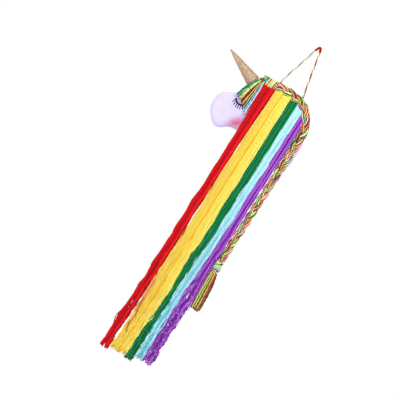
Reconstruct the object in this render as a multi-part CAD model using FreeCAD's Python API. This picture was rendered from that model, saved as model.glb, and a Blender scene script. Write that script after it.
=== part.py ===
import FreeCAD, Part
import math
import os

# Wall hanging of a stuffed animal head in profile with a horn, a plaited crest and a yarn mane.
# Millimetres.  Origin: middle of the bend of the hanging cord, where it lies over its hook.
# +Z up, +X towards the nape, the front looks towards -Y and the wall is on the +Y side.

# ---- overall sizes -------------------------------------------------------------------------
HEAD_DEPTH = 24.0          # stuffed head, front felt to back felt
FELT = 2.0                 # felt sheet
BACK_FACE = 12.0           # y of the face that lies on the wall
MANE_END_RED = -775.0      # lower ends of the six yarn bundles
MANE_END_GOLD = -768.0
MANE_END_LEMON = -766.0
MANE_END_GREEN = -770.0
MANE_END_BLUE = -758.0
MANE_END_PURPLE = -757.0
MANE_DEPTH = 8.0           # front to back of a yarn bundle
SOFT_GAP = 0.4             # room between soft pieces of different bodies
SWING_REACH = 30.0         # how far round a hinge line room is left for the swing
SWING_SLOPE = 0.5          # rise of that room's ceiling for each millimetre forward

# ---- hanging cord --------------------------------------------------------------------------
CORD_D = 3.6
LOOP_TOP_RUN = 6.8         # corner to corner over the hook
CORD_FOOT_Z = -108.0       # where the cord bends against the head seam
CORD_FOOT_LEFT = -31.0
CORD_FOOT_RIGHT = 25.5
TACK_D = 4.2               # bar of thread that ties a cord end to the seam
TACK_LENGTH = 8.0

# ---- horn ----------------------------------------------------------------------------------
HORN_LENGTH = 79.0
HORN_BASE_D = 27.0
HORN_TIP_D = 3.0
HORN_WALL = 1.0
HORN_RISE = 22.3           # degrees above level, pointing to the front of the head
HORN_BASE_X = -84.0
HORN_BASE_Z = -135.0

# ---- plait and tail ------------------------------------------------------------------------
PLAIT_WIDTH = 17.0
PLAIT_DEPTH = 13.0
TAIL_HINGE_Z = -262.0      # the plait leaves the neck here
TAIL_MID_Z = -380.0        # middle of the free plait, where it is taken to bend
TAIL_X = 66.0
TAIL_KNOT_TOP = -496.0
TAIL_KNOT_BOTTOM = -520.0
TAIL_KNOT_WIDTH = 19.0
TAIL_KNOT_DEPTH = 15.0
TASSEL_HINGE_Z = -521.0

# ---- gather and forelock -------------------------------------------------------------------
WRAP_LEFT = -54.5
WRAP_RIGHT = -41.8
GATHER_Z = -121.5
GATHER_HEIGHT = 20.0
GATHER_DEPTH = 14.0
KNOT_LEFT = -67.0
KNOT_TOP = -112.0
KNOT_BOTTOM = -126.0
TIE_LEFT = -72.5
TIE_RIGHT = -59.6
TIE_BOTTOM = -133.0
FORELOCK_HINGE_Z = -134.0
FORELOCK_DEPTH = 7.0

# ---- eye -----------------------------------------------------------------------------------
EYE_LINE = 2.4
LASH_WIDTH = 1.7
EYE_THICK = 0.8

# ---- derived -------------------------------------------------------------------------------
FACE_FRONT = BACK_FACE - HEAD_DEPTH
SEAM_Y = BACK_FACE - FELT
MANE_BACK = FACE_FRONT - SOFT_GAP
MANE_RIGHT = TAIL_X - PLAIT_WIDTH / 2 - 3 * SOFT_GAP
PLAIT_BACK = FACE_FRONT + PLAIT_DEPTH / 2
PLAIT_Y = FACE_FRONT
FORELOCK_BACK = FACE_FRONT - 1.4
GATHER_Y = FACE_FRONT

# Head outline as seen from the front, one way round from the crown.
HEAD_OUTLINE = [
    (-52, -118), (-31, -114), (0, -113), (25.5, -114), (38, -120), (50, -131), (60, -146),
    (68, -164), (74, -180), (78.5, -200), (79.5, -220), (78, -240), (74, -258), (60, -264),
    (30, -266), (0, -266), (-30, -263), (-47, -252), (-56, -240.5), (-66, -241), (-76, -244.5),
    (-82, -249), (-89, -255), (-97, -257.5), (-105, -256), (-113, -250), (-121, -242),
    (-127, -232), (-130.5, -222), (-131.5, -210), (-129, -198), (-124, -190.5), (-115, -185),
    (-105, -180), (-97, -175), (-93, -164), (-89.1, -147.5), (-78.9, -122.5), (-66, -119),
]

# Middle line of the plait over the crown and down the nape.
CREST_LINE = [
    (WRAP_RIGHT, -120.5), (-30, -118), (-10, -117), (5, -117.8), (20, -119.5), (35, -125),
    (43, -132), (50, -139.8), (56, -149), (61.2, -159), (65, -170), (65.9, -185),
    (66.2, -200), (66.4, -225), (TAIL_X, -245), (TAIL_X, -266),
]

# name, left x, right x, hinge z, root top z, lower end z
BUNDLES = [
    ("red", -57.5, -35.3, -144.0, -129.0, MANE_END_RED),
    ("gold", -34.7, -12.8, -140.0, -125.0, MANE_END_GOLD),
    ("lemon", -12.2, 5.3, -140.0, -125.0, MANE_END_LEMON),
    ("green", 5.9, 22.8, -141.0, -127.0, MANE_END_GREEN),
    ("blue", 23.4, 39.2, -150.0, -132.0, MANE_END_BLUE),
    ("purple", 39.8, MANE_RIGHT, -174.0, -147.0, MANE_END_PURPLE),
]

EYE_LID = [
    (-93, -186), (-88.5, -190.8), (-83, -193.4), (-77.5, -193), (-72, -190.8), (-67, -187),
    (-62.5, -182),
]
LASHES = [
    ((-92, -188), (-95.5, -196.5)), ((-88.5, -191), (-90.5, -200.5)),
    ((-84.5, -193), (-85.2, -203)), ((-80.5, -193.5), (-80, -203.2)),
    ((-76.5, -192.6), (-74.5, -202)), ((-72.5, -191), (-69.5, -199.8)),
    ((-69, -188.6), (-65.2, -196.6)), ((-65.8, -185.6), (-61.4, -192.8)),
    ((-63, -182.4), (-58.4, -188.4)),
]

FORELOCK_OUTLINE = [
    (-73, FORELOCK_HINGE_Z), (-59.3, FORELOCK_HINGE_Z), (-59.3, -208), (-64, -200),
    (-71, -191), (-80, -187), (-89, -182), (-98, -178.5), (-93.5, -163), (-88.5, -148),
    (-81.5, -139),
]

TASSEL_OUTLINE = [
    (59, TASSEL_HINGE_Z), (74.5, TASSEL_HINGE_Z), (79.5, -540), (82, -575), (82.6, -604),
    (76, -609), (62.5, -610), (60.5, -570),
]

TO_THE_BACK = FreeCAD.Vector(0, 1, 0)
TO_THE_RIGHT = FreeCAD.Vector(1, 0, 0)


def point(x, y, z):
    return FreeCAD.Vector(x, y, z)


def front_wire(outline, y):
    """Closed wire of straight edges through (x, z) points, at one depth."""
    corners = [point(x, y, z) for x, z in outline]
    return Part.makePolygon(corners + corners[:1])


def front_prism(outline, front, back):
    """Solid between two depths with an (x, z) outline."""
    face = Part.Face(front_wire(outline, front))
    return face.extrude(TO_THE_BACK * (back - front))


def side_prism(profile, left, right):
    """Solid between two x values with a (y, z) profile."""
    corners = [point(left, y, z) for y, z in profile]
    face = Part.Face(Part.makePolygon(corners + corners[:1]))
    return face.extrude(TO_THE_RIGHT * (right - left))


def inset(outline, distance):
    """Outline moved inwards by a distance, corner by corner."""
    moved = []
    count = len(outline)
    for i in range(count):
        before = outline[i - 1]
        here = outline[i]
        after = outline[(i + 1) % count]
        ax, az = here[0] - before[0], here[1] - before[1]
        bx, bz = after[0] - here[0], after[1] - here[1]
        a = math.hypot(ax, az)
        b = math.hypot(bx, bz)
        nx, nz = az / a + bz / b, -ax / a - bx / b
        size = math.hypot(nx, nz)
        nx, nz = nx / size, nz / size
        reach = distance / (nx * az / a - nz * ax / a)
        moved.append((here[0] + nx * reach, here[1] + nz * reach))
    return moved


def domed(outline, layers):
    """Cushion shape: layers of (y, inset) from the back to the front."""
    wires = [front_wire(inset(outline, step) if step else outline, y) for y, step in layers]
    return Part.makeLoft(wires, True, True)


def ellipse_wire(centre, normal, major_axis, major, minor):
    """Closed ellipse with its long half-width along major_axis."""
    s1 = centre + major_axis * major
    side = normal.cross(major_axis)
    s2 = centre + side * minor
    if major >= minor:
        curve = Part.Ellipse(s1, s2, centre)
    else:
        curve = Part.Ellipse(s2, centre - major_axis * major, centre)
    return Part.Wire([curve.toShape()])


def oval_bar(x0, x1, y, z, height, depth):
    """Bar along X with an oval section."""
    wire = ellipse_wire(point(x0, y, z), TO_THE_RIGHT, point(0, 0, 1), height / 2, depth / 2)
    return Part.Face(wire).extrude(TO_THE_RIGHT * (x1 - x0))


def oval_post(x, y, z0, z1, width, depth):
    """Post along Z with an oval section."""
    wire = ellipse_wire(point(x, y, z0), point(0, 0, 1), TO_THE_RIGHT, width / 2, depth / 2)
    return Part.Face(wire).extrude(point(0, 0, z1 - z0))


def hung_profile(back, depth, hinge_z, bottom):
    """Side profile of a piece that swings forward from a line on its back face."""
    top = hinge_z - SOFT_GAP
    return [(back, top), (back - depth, top - depth), (back - depth, bottom), (back, bottom)]


def root_profile(back, depth, hinge_z, top):
    """Side profile of the fixed piece above such a line, clear of the swing."""
    low = hinge_z + SOFT_GAP
    return [(back, low), (back - depth, low + depth), (back - depth, top), (back, top)]


def ribbon(line, width, front, back):
    """Flat strip of one width along an open (x, z) line."""
    left = []
    right = []
    for i, (x, z) in enumerate(line):
        x0, z0 = line[max(i - 1, 0)]
        x1, z1 = line[min(i + 1, len(line) - 1)]
        size = math.hypot(x1 - x0, z1 - z0)
        nx, nz = -(z1 - z0) / size, (x1 - x0) / size
        left.append((x + nx * width / 2, z + nz * width / 2))
        right.append((x - nx * width / 2, z - nz * width / 2))
    return front_prism(left + right[::-1], front, back)


def cord_route():
    """Corners of the hanging cord, foot to foot over the hook."""
    half = LOOP_TOP_RUN / 2
    return [
        point(CORD_FOOT_LEFT, 0, CORD_FOOT_Z), point(CORD_FOOT_LEFT + 1.0, 0, -94),
        point(-17.0, 0, -52), point(-half, 0, 0), point(half, 0, 0), point(13.8, 0, -56),
        point(CORD_FOOT_RIGHT, 0, CORD_FOOT_Z),
    ]


def rounded_wire(route):
    """Straight runs joined by tangent arcs; prints each arc's radius."""
    edges = []
    start = route[0]
    for i in range(1, len(route) - 1):
        before = route[i - 1] - route[i]
        after = route[i + 1] - route[i]
        turn = math.pi - before.getAngle(after)
        cut = 0.45 * min(before.Length, after.Length)
        print("cord arc", i, "radius", round(cut / math.tan(turn / 2), 1))
        before.normalize()
        after.normalize()
        begin = route[i] + before * cut
        end = route[i] + after * cut
        radius = cut / math.tan(turn / 2)
        to_centre = before + after
        to_centre.normalize()
        middle = route[i] + to_centre * (radius / math.cos(turn / 2) - radius)
        edges.append(Part.LineSegment(start, begin).toShape())
        edges.append(Part.Arc(begin, middle, end).toShape())
        start = end
    edges.append(Part.LineSegment(start, route[-1]).toShape())
    return Part.Wire(edges)


def make_hanging_cord():
    wire = rounded_wire(cord_route())
    first = wire.Edges[0]
    along = first.tangentAt(first.FirstParameter)
    ring = Part.Wire([Part.makeCircle(CORD_D / 2, cord_route()[0], along)])
    cord = wire.makePipeShell([ring], True, False)
    print("cord length", round(wire.Length, 1), "volume share",
          round(cord.Volume / (wire.Length * math.pi * CORD_D ** 2 / 4), 3))
    return cord


def make_tack(x):
    """Bar of thread that ties a cord end to the seam, just under the end of the cord."""
    z = CORD_FOOT_Z - CORD_D / 2 - SOFT_GAP - TACK_D / 2
    start = point(x - TACK_LENGTH / 2, 0, z)
    return Part.makeCylinder(TACK_D / 2, TACK_LENGTH, start, TO_THE_RIGHT)


def make_head_outside():
    layers = [(SEAM_Y, 0), (SEAM_Y - 10, 0), (FACE_FRONT + 4, 6), (FACE_FRONT, 14)]
    return domed(HEAD_OUTLINE, layers)


def make_head_inside():
    layers = [
        (SEAM_Y, FELT), (SEAM_Y - 9, FELT), (FACE_FRONT + 4 + FELT * 0.8, 6 + FELT * 0.6),
        (FACE_FRONT + FELT, 14 + FELT * 0.5),
    ]
    return domed(HEAD_OUTLINE, layers)


def horn_frame():
    """Base centre and pointing direction of the horn."""
    rise = math.radians(HORN_RISE)
    y = BACK_FACE - HORN_BASE_D / 2 - 0.1
    base = point(HORN_BASE_X, y, HORN_BASE_Z)
    return base, point(-math.cos(rise), 0, math.sin(rise))


def make_horn_parts(head):
    base, along = horn_frame()
    outside = Part.makeCone(HORN_BASE_D / 2, HORN_TIP_D / 2, HORN_LENGTH, base, along)
    hollow = HORN_LENGTH - 2 * HORN_TIP_D
    taper = (HORN_BASE_D - HORN_TIP_D) / 2 / HORN_LENGTH
    wide = HORN_BASE_D / 2 - HORN_WALL
    narrow = wide - taper * hollow
    inside = Part.makeCone(wide, narrow, hollow, base, along)
    back = front_prism(HEAD_OUTLINE, SEAM_Y, BACK_FACE)
    return outside.cut(inside).cut(head).cut(back), inside.cut(head).cut(back)


def make_crest_tube():
    curve = Part.BSplineCurve()
    curve.interpolate([point(x, PLAIT_Y, z) for x, z in CREST_LINE])
    path = Part.Wire([curve.toShape()])
    start = curve.value(curve.FirstParameter)
    along = curve.tangent(curve.FirstParameter)[0]
    across = along.cross(TO_THE_BACK)
    ring = ellipse_wire(start, along, across, PLAIT_WIDTH / 2, PLAIT_DEPTH / 2)
    sweep = Part.BRepOffsetAPI.MakePipeShell(path)
    sweep.setBiNormalMode(TO_THE_BACK)
    sweep.add(ring)
    sweep.build()
    sweep.makeSolid()
    return sweep.shape()


def swing_space(back, hinge_z, x):
    """Space under a fixed piece's lower end, left free for the piece that swings there."""
    low = hinge_z + SOFT_GAP
    front = back - SWING_REACH
    profile = [
        (back + SWING_REACH, low), (back, low), (front, low + SWING_REACH * SWING_SLOPE),
        (front, low - SWING_REACH), (back + SWING_REACH, low - SWING_REACH),
    ]
    return side_prism(profile, x - SWING_REACH, x + SWING_REACH)


def make_tail_piece(hinge_z, bottom):
    """One stretch of the hanging plait, with its upper end cut for the swing."""
    post = oval_post(TAIL_X, PLAIT_Y, bottom, hinge_z, PLAIT_WIDTH, PLAIT_DEPTH)
    profile = hung_profile(PLAIT_BACK, PLAIT_DEPTH, hinge_z, bottom - 1)
    return post.common(side_prism(profile, TAIL_X - PLAIT_WIDTH, TAIL_X + PLAIT_WIDTH))


def make_tail_upper():
    """First stretch, whose lower end is also cut, for the swing of the second."""
    piece = make_tail_piece(TAIL_HINGE_Z, TAIL_MID_Z + SOFT_GAP)
    profile = root_profile(PLAIT_BACK, PLAIT_DEPTH, TAIL_MID_Z, TAIL_HINGE_Z)
    return piece.common(side_prism(profile, TAIL_X - PLAIT_WIDTH, TAIL_X + PLAIT_WIDTH))


def make_tail_knot():
    knot = oval_post(TAIL_X, PLAIT_Y, TAIL_KNOT_BOTTOM, TAIL_KNOT_TOP, TAIL_KNOT_WIDTH,
                     TAIL_KNOT_DEPTH)
    return knot.cut(swing_space(PLAIT_BACK, TASSEL_HINGE_Z, TAIL_X))


def make_hung_front_piece(outline, back, depth, hinge_z):
    """Piece with an (x, z) outline that swings forward from its upper edge."""
    low = min(z for x, z in outline) - 1
    body = front_prism(outline, back - depth, back)
    left = min(x for x, z in outline) - 1
    right = max(x for x, z in outline) + 1
    return body.common(side_prism(hung_profile(back, depth, hinge_z, low), left, right))


def largest(shape):
    """The one solid of a cut, with small offcuts dropped."""
    return max(shape.Solids, key=lambda s: s.Volume)


def build():
    nodes = {}
    head = make_head_outside()
    filling = make_head_inside()
    crest = make_crest_tube()
    wrap = oval_bar(WRAP_LEFT, WRAP_RIGHT, GATHER_Y, GATHER_Z, GATHER_HEIGHT, GATHER_DEPTH)
    knot_z = (KNOT_TOP + KNOT_BOTTOM) / 2
    knot = oval_bar(KNOT_LEFT, WRAP_LEFT, GATHER_Y, knot_z, KNOT_TOP - KNOT_BOTTOM,
                    GATHER_DEPTH)
    tie = oval_post((TIE_LEFT + TIE_RIGHT) / 2, GATHER_Y - 1.5, TIE_BOTTOM, KNOT_BOTTOM,
                    TIE_RIGHT - TIE_LEFT, GATHER_DEPTH - 3)

    nodes["hanging_cord"] = make_hanging_cord()
    nodes["cord_tack_left"] = make_tack(CORD_FOOT_LEFT).cut(head)
    nodes["cord_tack_right"] = make_tack(CORD_FOOT_RIGHT).cut(head)
    nodes["head_back_felt"] = front_prism(HEAD_OUTLINE, SEAM_Y, BACK_FACE)
    nodes["head_front_felt"] = head.cut(filling)
    nodes["head_stuffing"] = filling
    nodes["horn_shell"], nodes["horn_stuffing"] = make_horn_parts(head)

    lid = ribbon(EYE_LID, EYE_LINE, FACE_FRONT - EYE_THICK, FACE_FRONT)
    nodes["eye_lid"] = lid
    for i, lash in enumerate(LASHES):
        strip = ribbon(list(lash), LASH_WIDTH, FACE_FRONT - EYE_THICK, FACE_FRONT)
        nodes["eyelash_%d" % (i + 1)] = largest(strip.cut(lid))

    nodes["gather_wrap"] = largest(wrap.cut(head))
    nodes["gather_knot"] = largest(knot.cut(head))
    nodes["forelock_tie"] = largest(tie.cut(head).cut(
        swing_space(FORELOCK_BACK, FORELOCK_HINGE_Z, TIE_RIGHT)))
    nodes["forelock"] = make_hung_front_piece(FORELOCK_OUTLINE, FORELOCK_BACK, FORELOCK_DEPTH,
                                              FORELOCK_HINGE_Z)
    nodes["crest_plait"] = largest(crest.cut(head).cut(wrap).cut(
        swing_space(PLAIT_BACK, TAIL_HINGE_Z, TAIL_X)))

    for name, left, right, hinge_z, root_top, end_z in BUNDLES:
        root = side_prism(root_profile(FACE_FRONT, MANE_DEPTH - 2, hinge_z, root_top), left, right)
        for other in (head, crest, wrap, knot):
            root = root.cut(other)
        nodes["mane_root_" + name] = largest(root)
        profile = hung_profile(MANE_BACK, MANE_DEPTH, hinge_z, end_z)
        nodes["mane_" + name] = side_prism(profile, left, right)
    gold_left = BUNDLES[1][1]
    stray = [
        (MANE_BACK - MANE_DEPTH - 2, -595), (MANE_BACK - MANE_DEPTH - 2, -722),
        (MANE_BACK - MANE_DEPTH, -722), (MANE_BACK - MANE_DEPTH, -595),
    ]
    nodes["mane_orange_strays"] = side_prism(stray, gold_left, gold_left + 8)

    nodes["tail_plait_upper"] = make_tail_upper()
    nodes["tail_plait_lower"] = make_tail_piece(TAIL_MID_Z, TAIL_KNOT_TOP)
    nodes["tail_knot"] = make_tail_knot()
    nodes["tail_tassel"] = make_hung_front_piece(TASSEL_OUTLINE, PLAIT_BACK, PLAIT_DEPTH - 2,
                                                 TASSEL_HINGE_Z)
    return nodes


def save(nodes):
    os.makedirs("parts", exist_ok=True)
    for name, shape in nodes.items():
        solids = shape.Solids
        box = shape.BoundBox
        print(name, "solids", len(solids), "valid", shape.isValid(), "volume",
              round(shape.Volume, 1), "x", round(box.XMin, 1), round(box.XMax, 1), "y",
              round(box.YMin, 1), round(box.YMax, 1), "z", round(box.ZMin, 1),
              round(box.ZMax, 1))
        shape.exportStep("parts/" + name + ".step")


save(build())
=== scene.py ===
"""Looks of a stuffed unicorn head wall hanging with a plaited crest and a long yarn mane.

Metres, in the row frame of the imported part: +Z up, +X towards the nape, the front looks to -Y.
"""

import logging
import math
import random
from dataclasses import dataclass, field
from enum import Enum

import bmesh
import bpy
from mathutils import Matrix, Vector, noise
from mathutils.bvhtree import BVHTree


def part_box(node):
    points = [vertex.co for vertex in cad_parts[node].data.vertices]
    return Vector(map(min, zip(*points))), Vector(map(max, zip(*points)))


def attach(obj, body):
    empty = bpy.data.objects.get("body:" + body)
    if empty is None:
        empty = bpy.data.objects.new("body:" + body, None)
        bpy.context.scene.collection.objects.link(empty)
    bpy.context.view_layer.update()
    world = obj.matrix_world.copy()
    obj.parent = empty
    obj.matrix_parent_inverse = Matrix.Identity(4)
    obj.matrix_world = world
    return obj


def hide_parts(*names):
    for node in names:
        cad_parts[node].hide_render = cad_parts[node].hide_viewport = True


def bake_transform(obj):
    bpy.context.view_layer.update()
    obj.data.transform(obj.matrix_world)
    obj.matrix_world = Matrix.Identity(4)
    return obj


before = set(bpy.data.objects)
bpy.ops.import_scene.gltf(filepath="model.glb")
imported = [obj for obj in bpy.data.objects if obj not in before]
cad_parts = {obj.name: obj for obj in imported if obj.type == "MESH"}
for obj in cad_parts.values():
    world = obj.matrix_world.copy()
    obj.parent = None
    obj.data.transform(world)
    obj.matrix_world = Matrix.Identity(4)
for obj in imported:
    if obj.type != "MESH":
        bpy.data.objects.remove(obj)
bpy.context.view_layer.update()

MM = 0.001
LOG = logging.getLogger("wall_hanging")
UP = Vector((0.0, 0.0, 1.0))
BACKWARDS = Vector((0.0, 1.0, 0.0))
RIGHT = Vector((1.0, 0.0, 0.0))
FULL_TURN = 2.0 * math.pi


def mm(x: float, y: float, z: float) -> Vector:
    """A point given in millimetres."""
    return Vector((x * MM, y * MM, z * MM))


def ease(t: float) -> float:
    """A smooth step from 0 to 1."""
    t = min(max(t, 0.0), 1.0)
    return t * t * (3.0 - 2.0 * t)


def between(a: float, b: float, t: float) -> float:
    """A straight mix of two numbers."""
    return a + (b - a) * t


class Dye(Enum):
    """Yarn and cloth colours, as display values of 0 to 255."""

    RED = (212, 0, 14)
    RED_BRIGHT = (240, 26, 40)
    RED_DEEP = (158, 0, 10)
    GOLD = (255, 216, 72)
    GOLD_WARM = (252, 198, 52)
    GOLD_PALE = (255, 226, 112)
    LEMON = (255, 232, 98)
    LEMON_PALE = (254, 242, 132)
    GREEN = (0, 122, 58)
    GREEN_DEEP = (0, 84, 36)
    GREEN_SEA = (20, 146, 96)
    SKY = (160, 232, 250)
    SKY_PALE = (196, 242, 255)
    SKY_DEEP = (104, 200, 224)
    PURPLE = (134, 42, 178)
    PURPLE_DEEP = (86, 14, 132)
    PURPLE_LIGHT = (184, 100, 216)
    ORANGE = (246, 140, 70)
    PEACH = (255, 190, 130)
    RUST = (168, 84, 36)
    SALMON = (232, 124, 104)
    BRICK = (176, 52, 36)
    CRIMSON = (168, 18, 60)
    CREAM = (246, 234, 196)
    WHITE = (250, 248, 244)
    LIME = (206, 234, 120)
    MINT = (142, 214, 160)
    OLIVE = (126, 134, 48)
    FOREST = (18, 92, 48)
    TEAL = (22, 82, 84)
    NAVY = (44, 44, 104)
    LILAC = (170, 146, 196)
    MIST = (204, 222, 242)
    BROWN = (128, 64, 34)
    GREY_GREEN = (146, 158, 132)
    BLACK = (16, 14, 18)

    def linear(self) -> tuple[float, float, float]:
        """The colour in linear light."""
        r, g, b = (linear_light(v / 255.0) for v in self.value)
        return (r, g, b)


def linear_light(v: float) -> float:
    """One display channel of 0 to 1 in linear light."""
    return v / 12.92 if v <= 0.04045 else ((v + 0.055) / 1.055) ** 2.4


# ------------------------------------------------------------------------------------ finishes


class NodeBench:
    """A material's node tree with short calls for adding and joining nodes."""

    def __init__(self, name: str) -> None:
        """Args: name: the material's name."""
        self.material = bpy.data.materials.new(name)
        self.material.use_nodes = True
        self.tree = self.material.node_tree
        self.tree.nodes.clear()
        self.out = self.tree.nodes.new("ShaderNodeOutputMaterial")
        self.shader = self.tree.nodes.new("ShaderNodeBsdfPrincipled")
        self.join(self.shader, "BSDF", self.out, "Surface")

    def add(self, kind: str, **settings: object) -> bpy.types.Node:
        """Adds a node and sets its properties.

        Args:
            kind: the node type without its ShaderNode prefix.
            settings: property names and values.

        Returns:
            The new node.
        """
        node = self.tree.nodes.new("ShaderNode" + kind)
        for key, value in settings.items():
            setattr(node, key, value)
        return node

    def join(self, a: bpy.types.Node, out: str | int, b: bpy.types.Node, into: str | int) -> None:
        """Links an output of one node to an input of another."""
        self.tree.links.new(a.outputs[out], b.inputs[into])

    def ramp(self, stops: list[tuple[float, tuple[float, float, float]]]) -> bpy.types.Node:
        """A colour ramp with the given stops.

        Args:
            stops: places from 0 to 1, each with its colour.

        Returns:
            The ramp.
        """
        node = self.add("ValToRGB")
        band = node.color_ramp
        for spot, (place, colour) in enumerate(stops):
            stop = band.elements[spot] if spot < 2 else band.elements.new(place)
            stop.position = place
            stop.color = (*colour, 1.0)
        return node

    def noise(
        self, scale: float, detail: float, stretch: tuple[float, float, float],
    ) -> bpy.types.Node:
        """Noise over the piece's own place, drawn out by a stretch on each axis.

        Args:
            scale: how fine it is.
            detail: how many finer layers it has.
            stretch: how much it is drawn out on each axis.

        Returns:
            The noise.
        """
        place = self.add("TexCoord")
        turn = self.add("Mapping")
        turn.inputs["Scale"].default_value = stretch
        self.join(place, "Object", turn, "Vector")
        node = self.add("TexNoise")
        node.inputs["Scale"].default_value = scale
        node.inputs["Detail"].default_value = detail
        self.join(turn, "Vector", node, "Vector")
        return node

    def bump(
        self, source: bpy.types.Node, out: str, strength: float, depth: float,
    ) -> bpy.types.Node:
        """A bump from a node's output, joined to the shader.

        Args:
            source: the node whose output is the height.
            out: the name of that output.
            strength: how strong the bump is.
            depth: its height in metres.

        Returns:
            The bump.
        """
        node = self.add("Bump")
        node.inputs["Strength"].default_value = strength
        node.inputs["Distance"].default_value = depth
        self.join(source, out, node, "Height")
        self.join(node, "Normal", self.shader, "Normal")
        return node


@dataclass(frozen=True)
class YarnFinish:
    """Dyed, softly fuzzy yarn, whose colour is the piece's own dye attribute."""

    name: str
    fuzz: float = 0.08
    roughness: float = 0.85
    fibre_scale: float = 1500.0

    def build(self) -> bpy.types.Material:
        """The material.

        Returns:
            The material.
        """
        bench = NodeBench(self.name)
        dye = bench.add("Attribute", attribute_name="dye")
        fibres = bench.noise(self.fibre_scale, 4.0, (1.0, 1.0, 0.22))
        shade = bench.ramp([(0.3, (0.84, 0.84, 0.84)), (0.65, (1.0, 1.0, 1.0))])
        bench.join(fibres, "Fac", shade, "Fac")
        mix = bench.add("Mix", data_type="RGBA", blend_type="MULTIPLY")
        mix.inputs["Factor"].default_value = 1.0
        bench.join(dye, "Color", mix, 6)
        bench.join(shade, "Color", mix, 7)
        bench.join(mix, 2, bench.shader, "Base Color")
        bench.shader.inputs["Roughness"].default_value = self.roughness
        bench.shader.inputs["Sheen Weight"].default_value = self.fuzz
        bench.shader.inputs["Sheen Roughness"].default_value = 0.5
        bench.shader.inputs["Specular IOR Level"].default_value = 0.12
        bench.bump(fibres, "Fac", 0.8, 0.0006)
        return bench.material


@dataclass(frozen=True)
class FeltFinish:
    """Soft felt with fine fibres and a soft, patchy pink spot at the cheek by the jaw."""

    name: str
    body: tuple[int, int, int] = (214, 206, 246)
    shade: tuple[int, int, int] = (206, 197, 241)
    cheek: tuple[int, int, int] = (206, 92, 122)
    cheek_at: tuple[float, float, float] = (-65.0, -10.0, -230.0)
    cheek_size: tuple[float, float, float] = (29.0, 15.0, 17.0)
    cheek_lean: float = math.radians(-45.0)

    def build(self) -> bpy.types.Material:
        """The material.

        Returns:
            The material.
        """
        bench = NodeBench(self.name)
        wide = bench.noise(60.0, 2.0, (1.0, 1.0, 1.0))
        body = bench.ramp([(0.35, self.display(self.shade)), (0.65, self.display(self.body))])
        bench.join(wide, "Fac", body, "Fac")
        # A soft, patchy pink spot mixed into the felt's colour at the cheek by the jaw, next to
        # the red yarn.
        place = bench.add("TexCoord")
        spot = bench.add("Mapping", vector_type="TEXTURE")
        spot.inputs["Location"].default_value = [v * MM for v in self.cheek_at]
        spot.inputs["Rotation"].default_value = (0.0, self.cheek_lean, 0.0)
        spot.inputs["Scale"].default_value = [v * MM for v in self.cheek_size]
        bench.join(place, "Object", spot, "Vector")
        ball = bench.add("TexGradient", gradient_type="SPHERICAL")
        bench.join(spot, "Vector", ball, "Vector")
        pink_mottle = bench.noise(420.0, 5.0, (1.0, 1.0, 1.0))
        patchy = bench.add("Math", operation="MULTIPLY")
        bench.join(ball, "Fac", patchy, 0)
        bench.join(pink_mottle, "Fac", patchy, 1)
        strength = bench.add("Math", operation="MULTIPLY", use_clamp=True)
        strength.inputs[1].default_value = 2.2
        bench.join(patchy, "Value", strength, 0)
        mix = bench.add("Mix", data_type="RGBA")
        bench.join(strength, "Value", mix, "Factor")
        bench.join(body, "Color", mix, 6)
        mix.inputs[7].default_value = (*self.display(self.cheek), 1.0)
        fibres = bench.noise(1100.0, 6.0, (1.0, 1.0, 1.0))
        nap = bench.ramp([(0.35, (0.88, 0.88, 0.89)), (0.62, (1.0, 1.0, 1.0))])
        bench.join(fibres, "Fac", nap, "Fac")
        worn = bench.add("Mix", data_type="RGBA", blend_type="MULTIPLY")
        worn.inputs["Factor"].default_value = 1.0
        bench.join(mix, 2, worn, 6)
        bench.join(nap, "Color", worn, 7)
        bench.join(worn, 2, bench.shader, "Base Color")
        bench.shader.inputs["Roughness"].default_value = 0.92
        bench.shader.inputs["Sheen Weight"].default_value = 0.4
        bench.shader.inputs["Specular IOR Level"].default_value = 0.2
        bench.bump(fibres, "Fac", 0.6, 0.0008)
        return bench.material

    @staticmethod
    def display(colour: tuple[int, int, int]) -> tuple[float, float, float]:
        """A display colour of 0 to 255 in linear light."""
        r, g, b = (linear_light(v / 255.0) for v in colour)
        return (r, g, b)


@dataclass(frozen=True)
class GlitterFinish:
    """Cloth covered with fine gold glitter."""

    name: str
    flake_scale: float = 1500.0

    def build(self) -> bpy.types.Material:
        """The material.

        Returns:
            The material.
        """
        bench = NodeBench(self.name)
        place = bench.add("TexCoord")
        flakes = bench.add("TexVoronoi", feature="F1")
        flakes.inputs["Scale"].default_value = self.flake_scale
        bench.join(place, "Object", flakes, "Vector")
        grey = bench.add("SeparateColor")
        bench.join(flakes, "Color", grey, "Color")
        display = FeltFinish.display
        tone = bench.ramp([
            (0.0, display((110, 84, 58))),
            (0.55, display((168, 136, 102))),
            (0.94, display((230, 208, 176))),
        ])
        bench.join(grey, 0, tone, "Fac")
        bench.join(tone, "Color", bench.shader, "Base Color")
        bench.shader.inputs["Metallic"].default_value = 0.45
        bench.shader.inputs["Roughness"].default_value = 0.42
        bench.bump(grey, 1, 0.55, 0.0005)
        return bench.material


# ---------------------------------------------------------------------------------------- yarn


@dataclass
class Yarn:
    """One yarn: its line, its dye from end to end, its half thickness and its twist.

    Attributes:
        line: points along its middle.
        dye: colour where it starts.
        dye_end: colour where it ends, if that is another one.
        radius: half thickness.
        turns_per_metre: twist.
        taper: half thickness at the end against that at the start.
        change: share of the length where the colour changes over, or None for a slow mix.
        first_turn: how far the twist is round at the start, as a share of a turn.
    """

    line: list[Vector]
    dye: tuple[float, float, float]
    dye_end: tuple[float, float, float] | None = None
    radius: float = 0.95 * MM
    turns_per_metre: float = 45.0
    taper: float = 1.0
    change: float | None = None
    first_turn: float = 0.0


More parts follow.
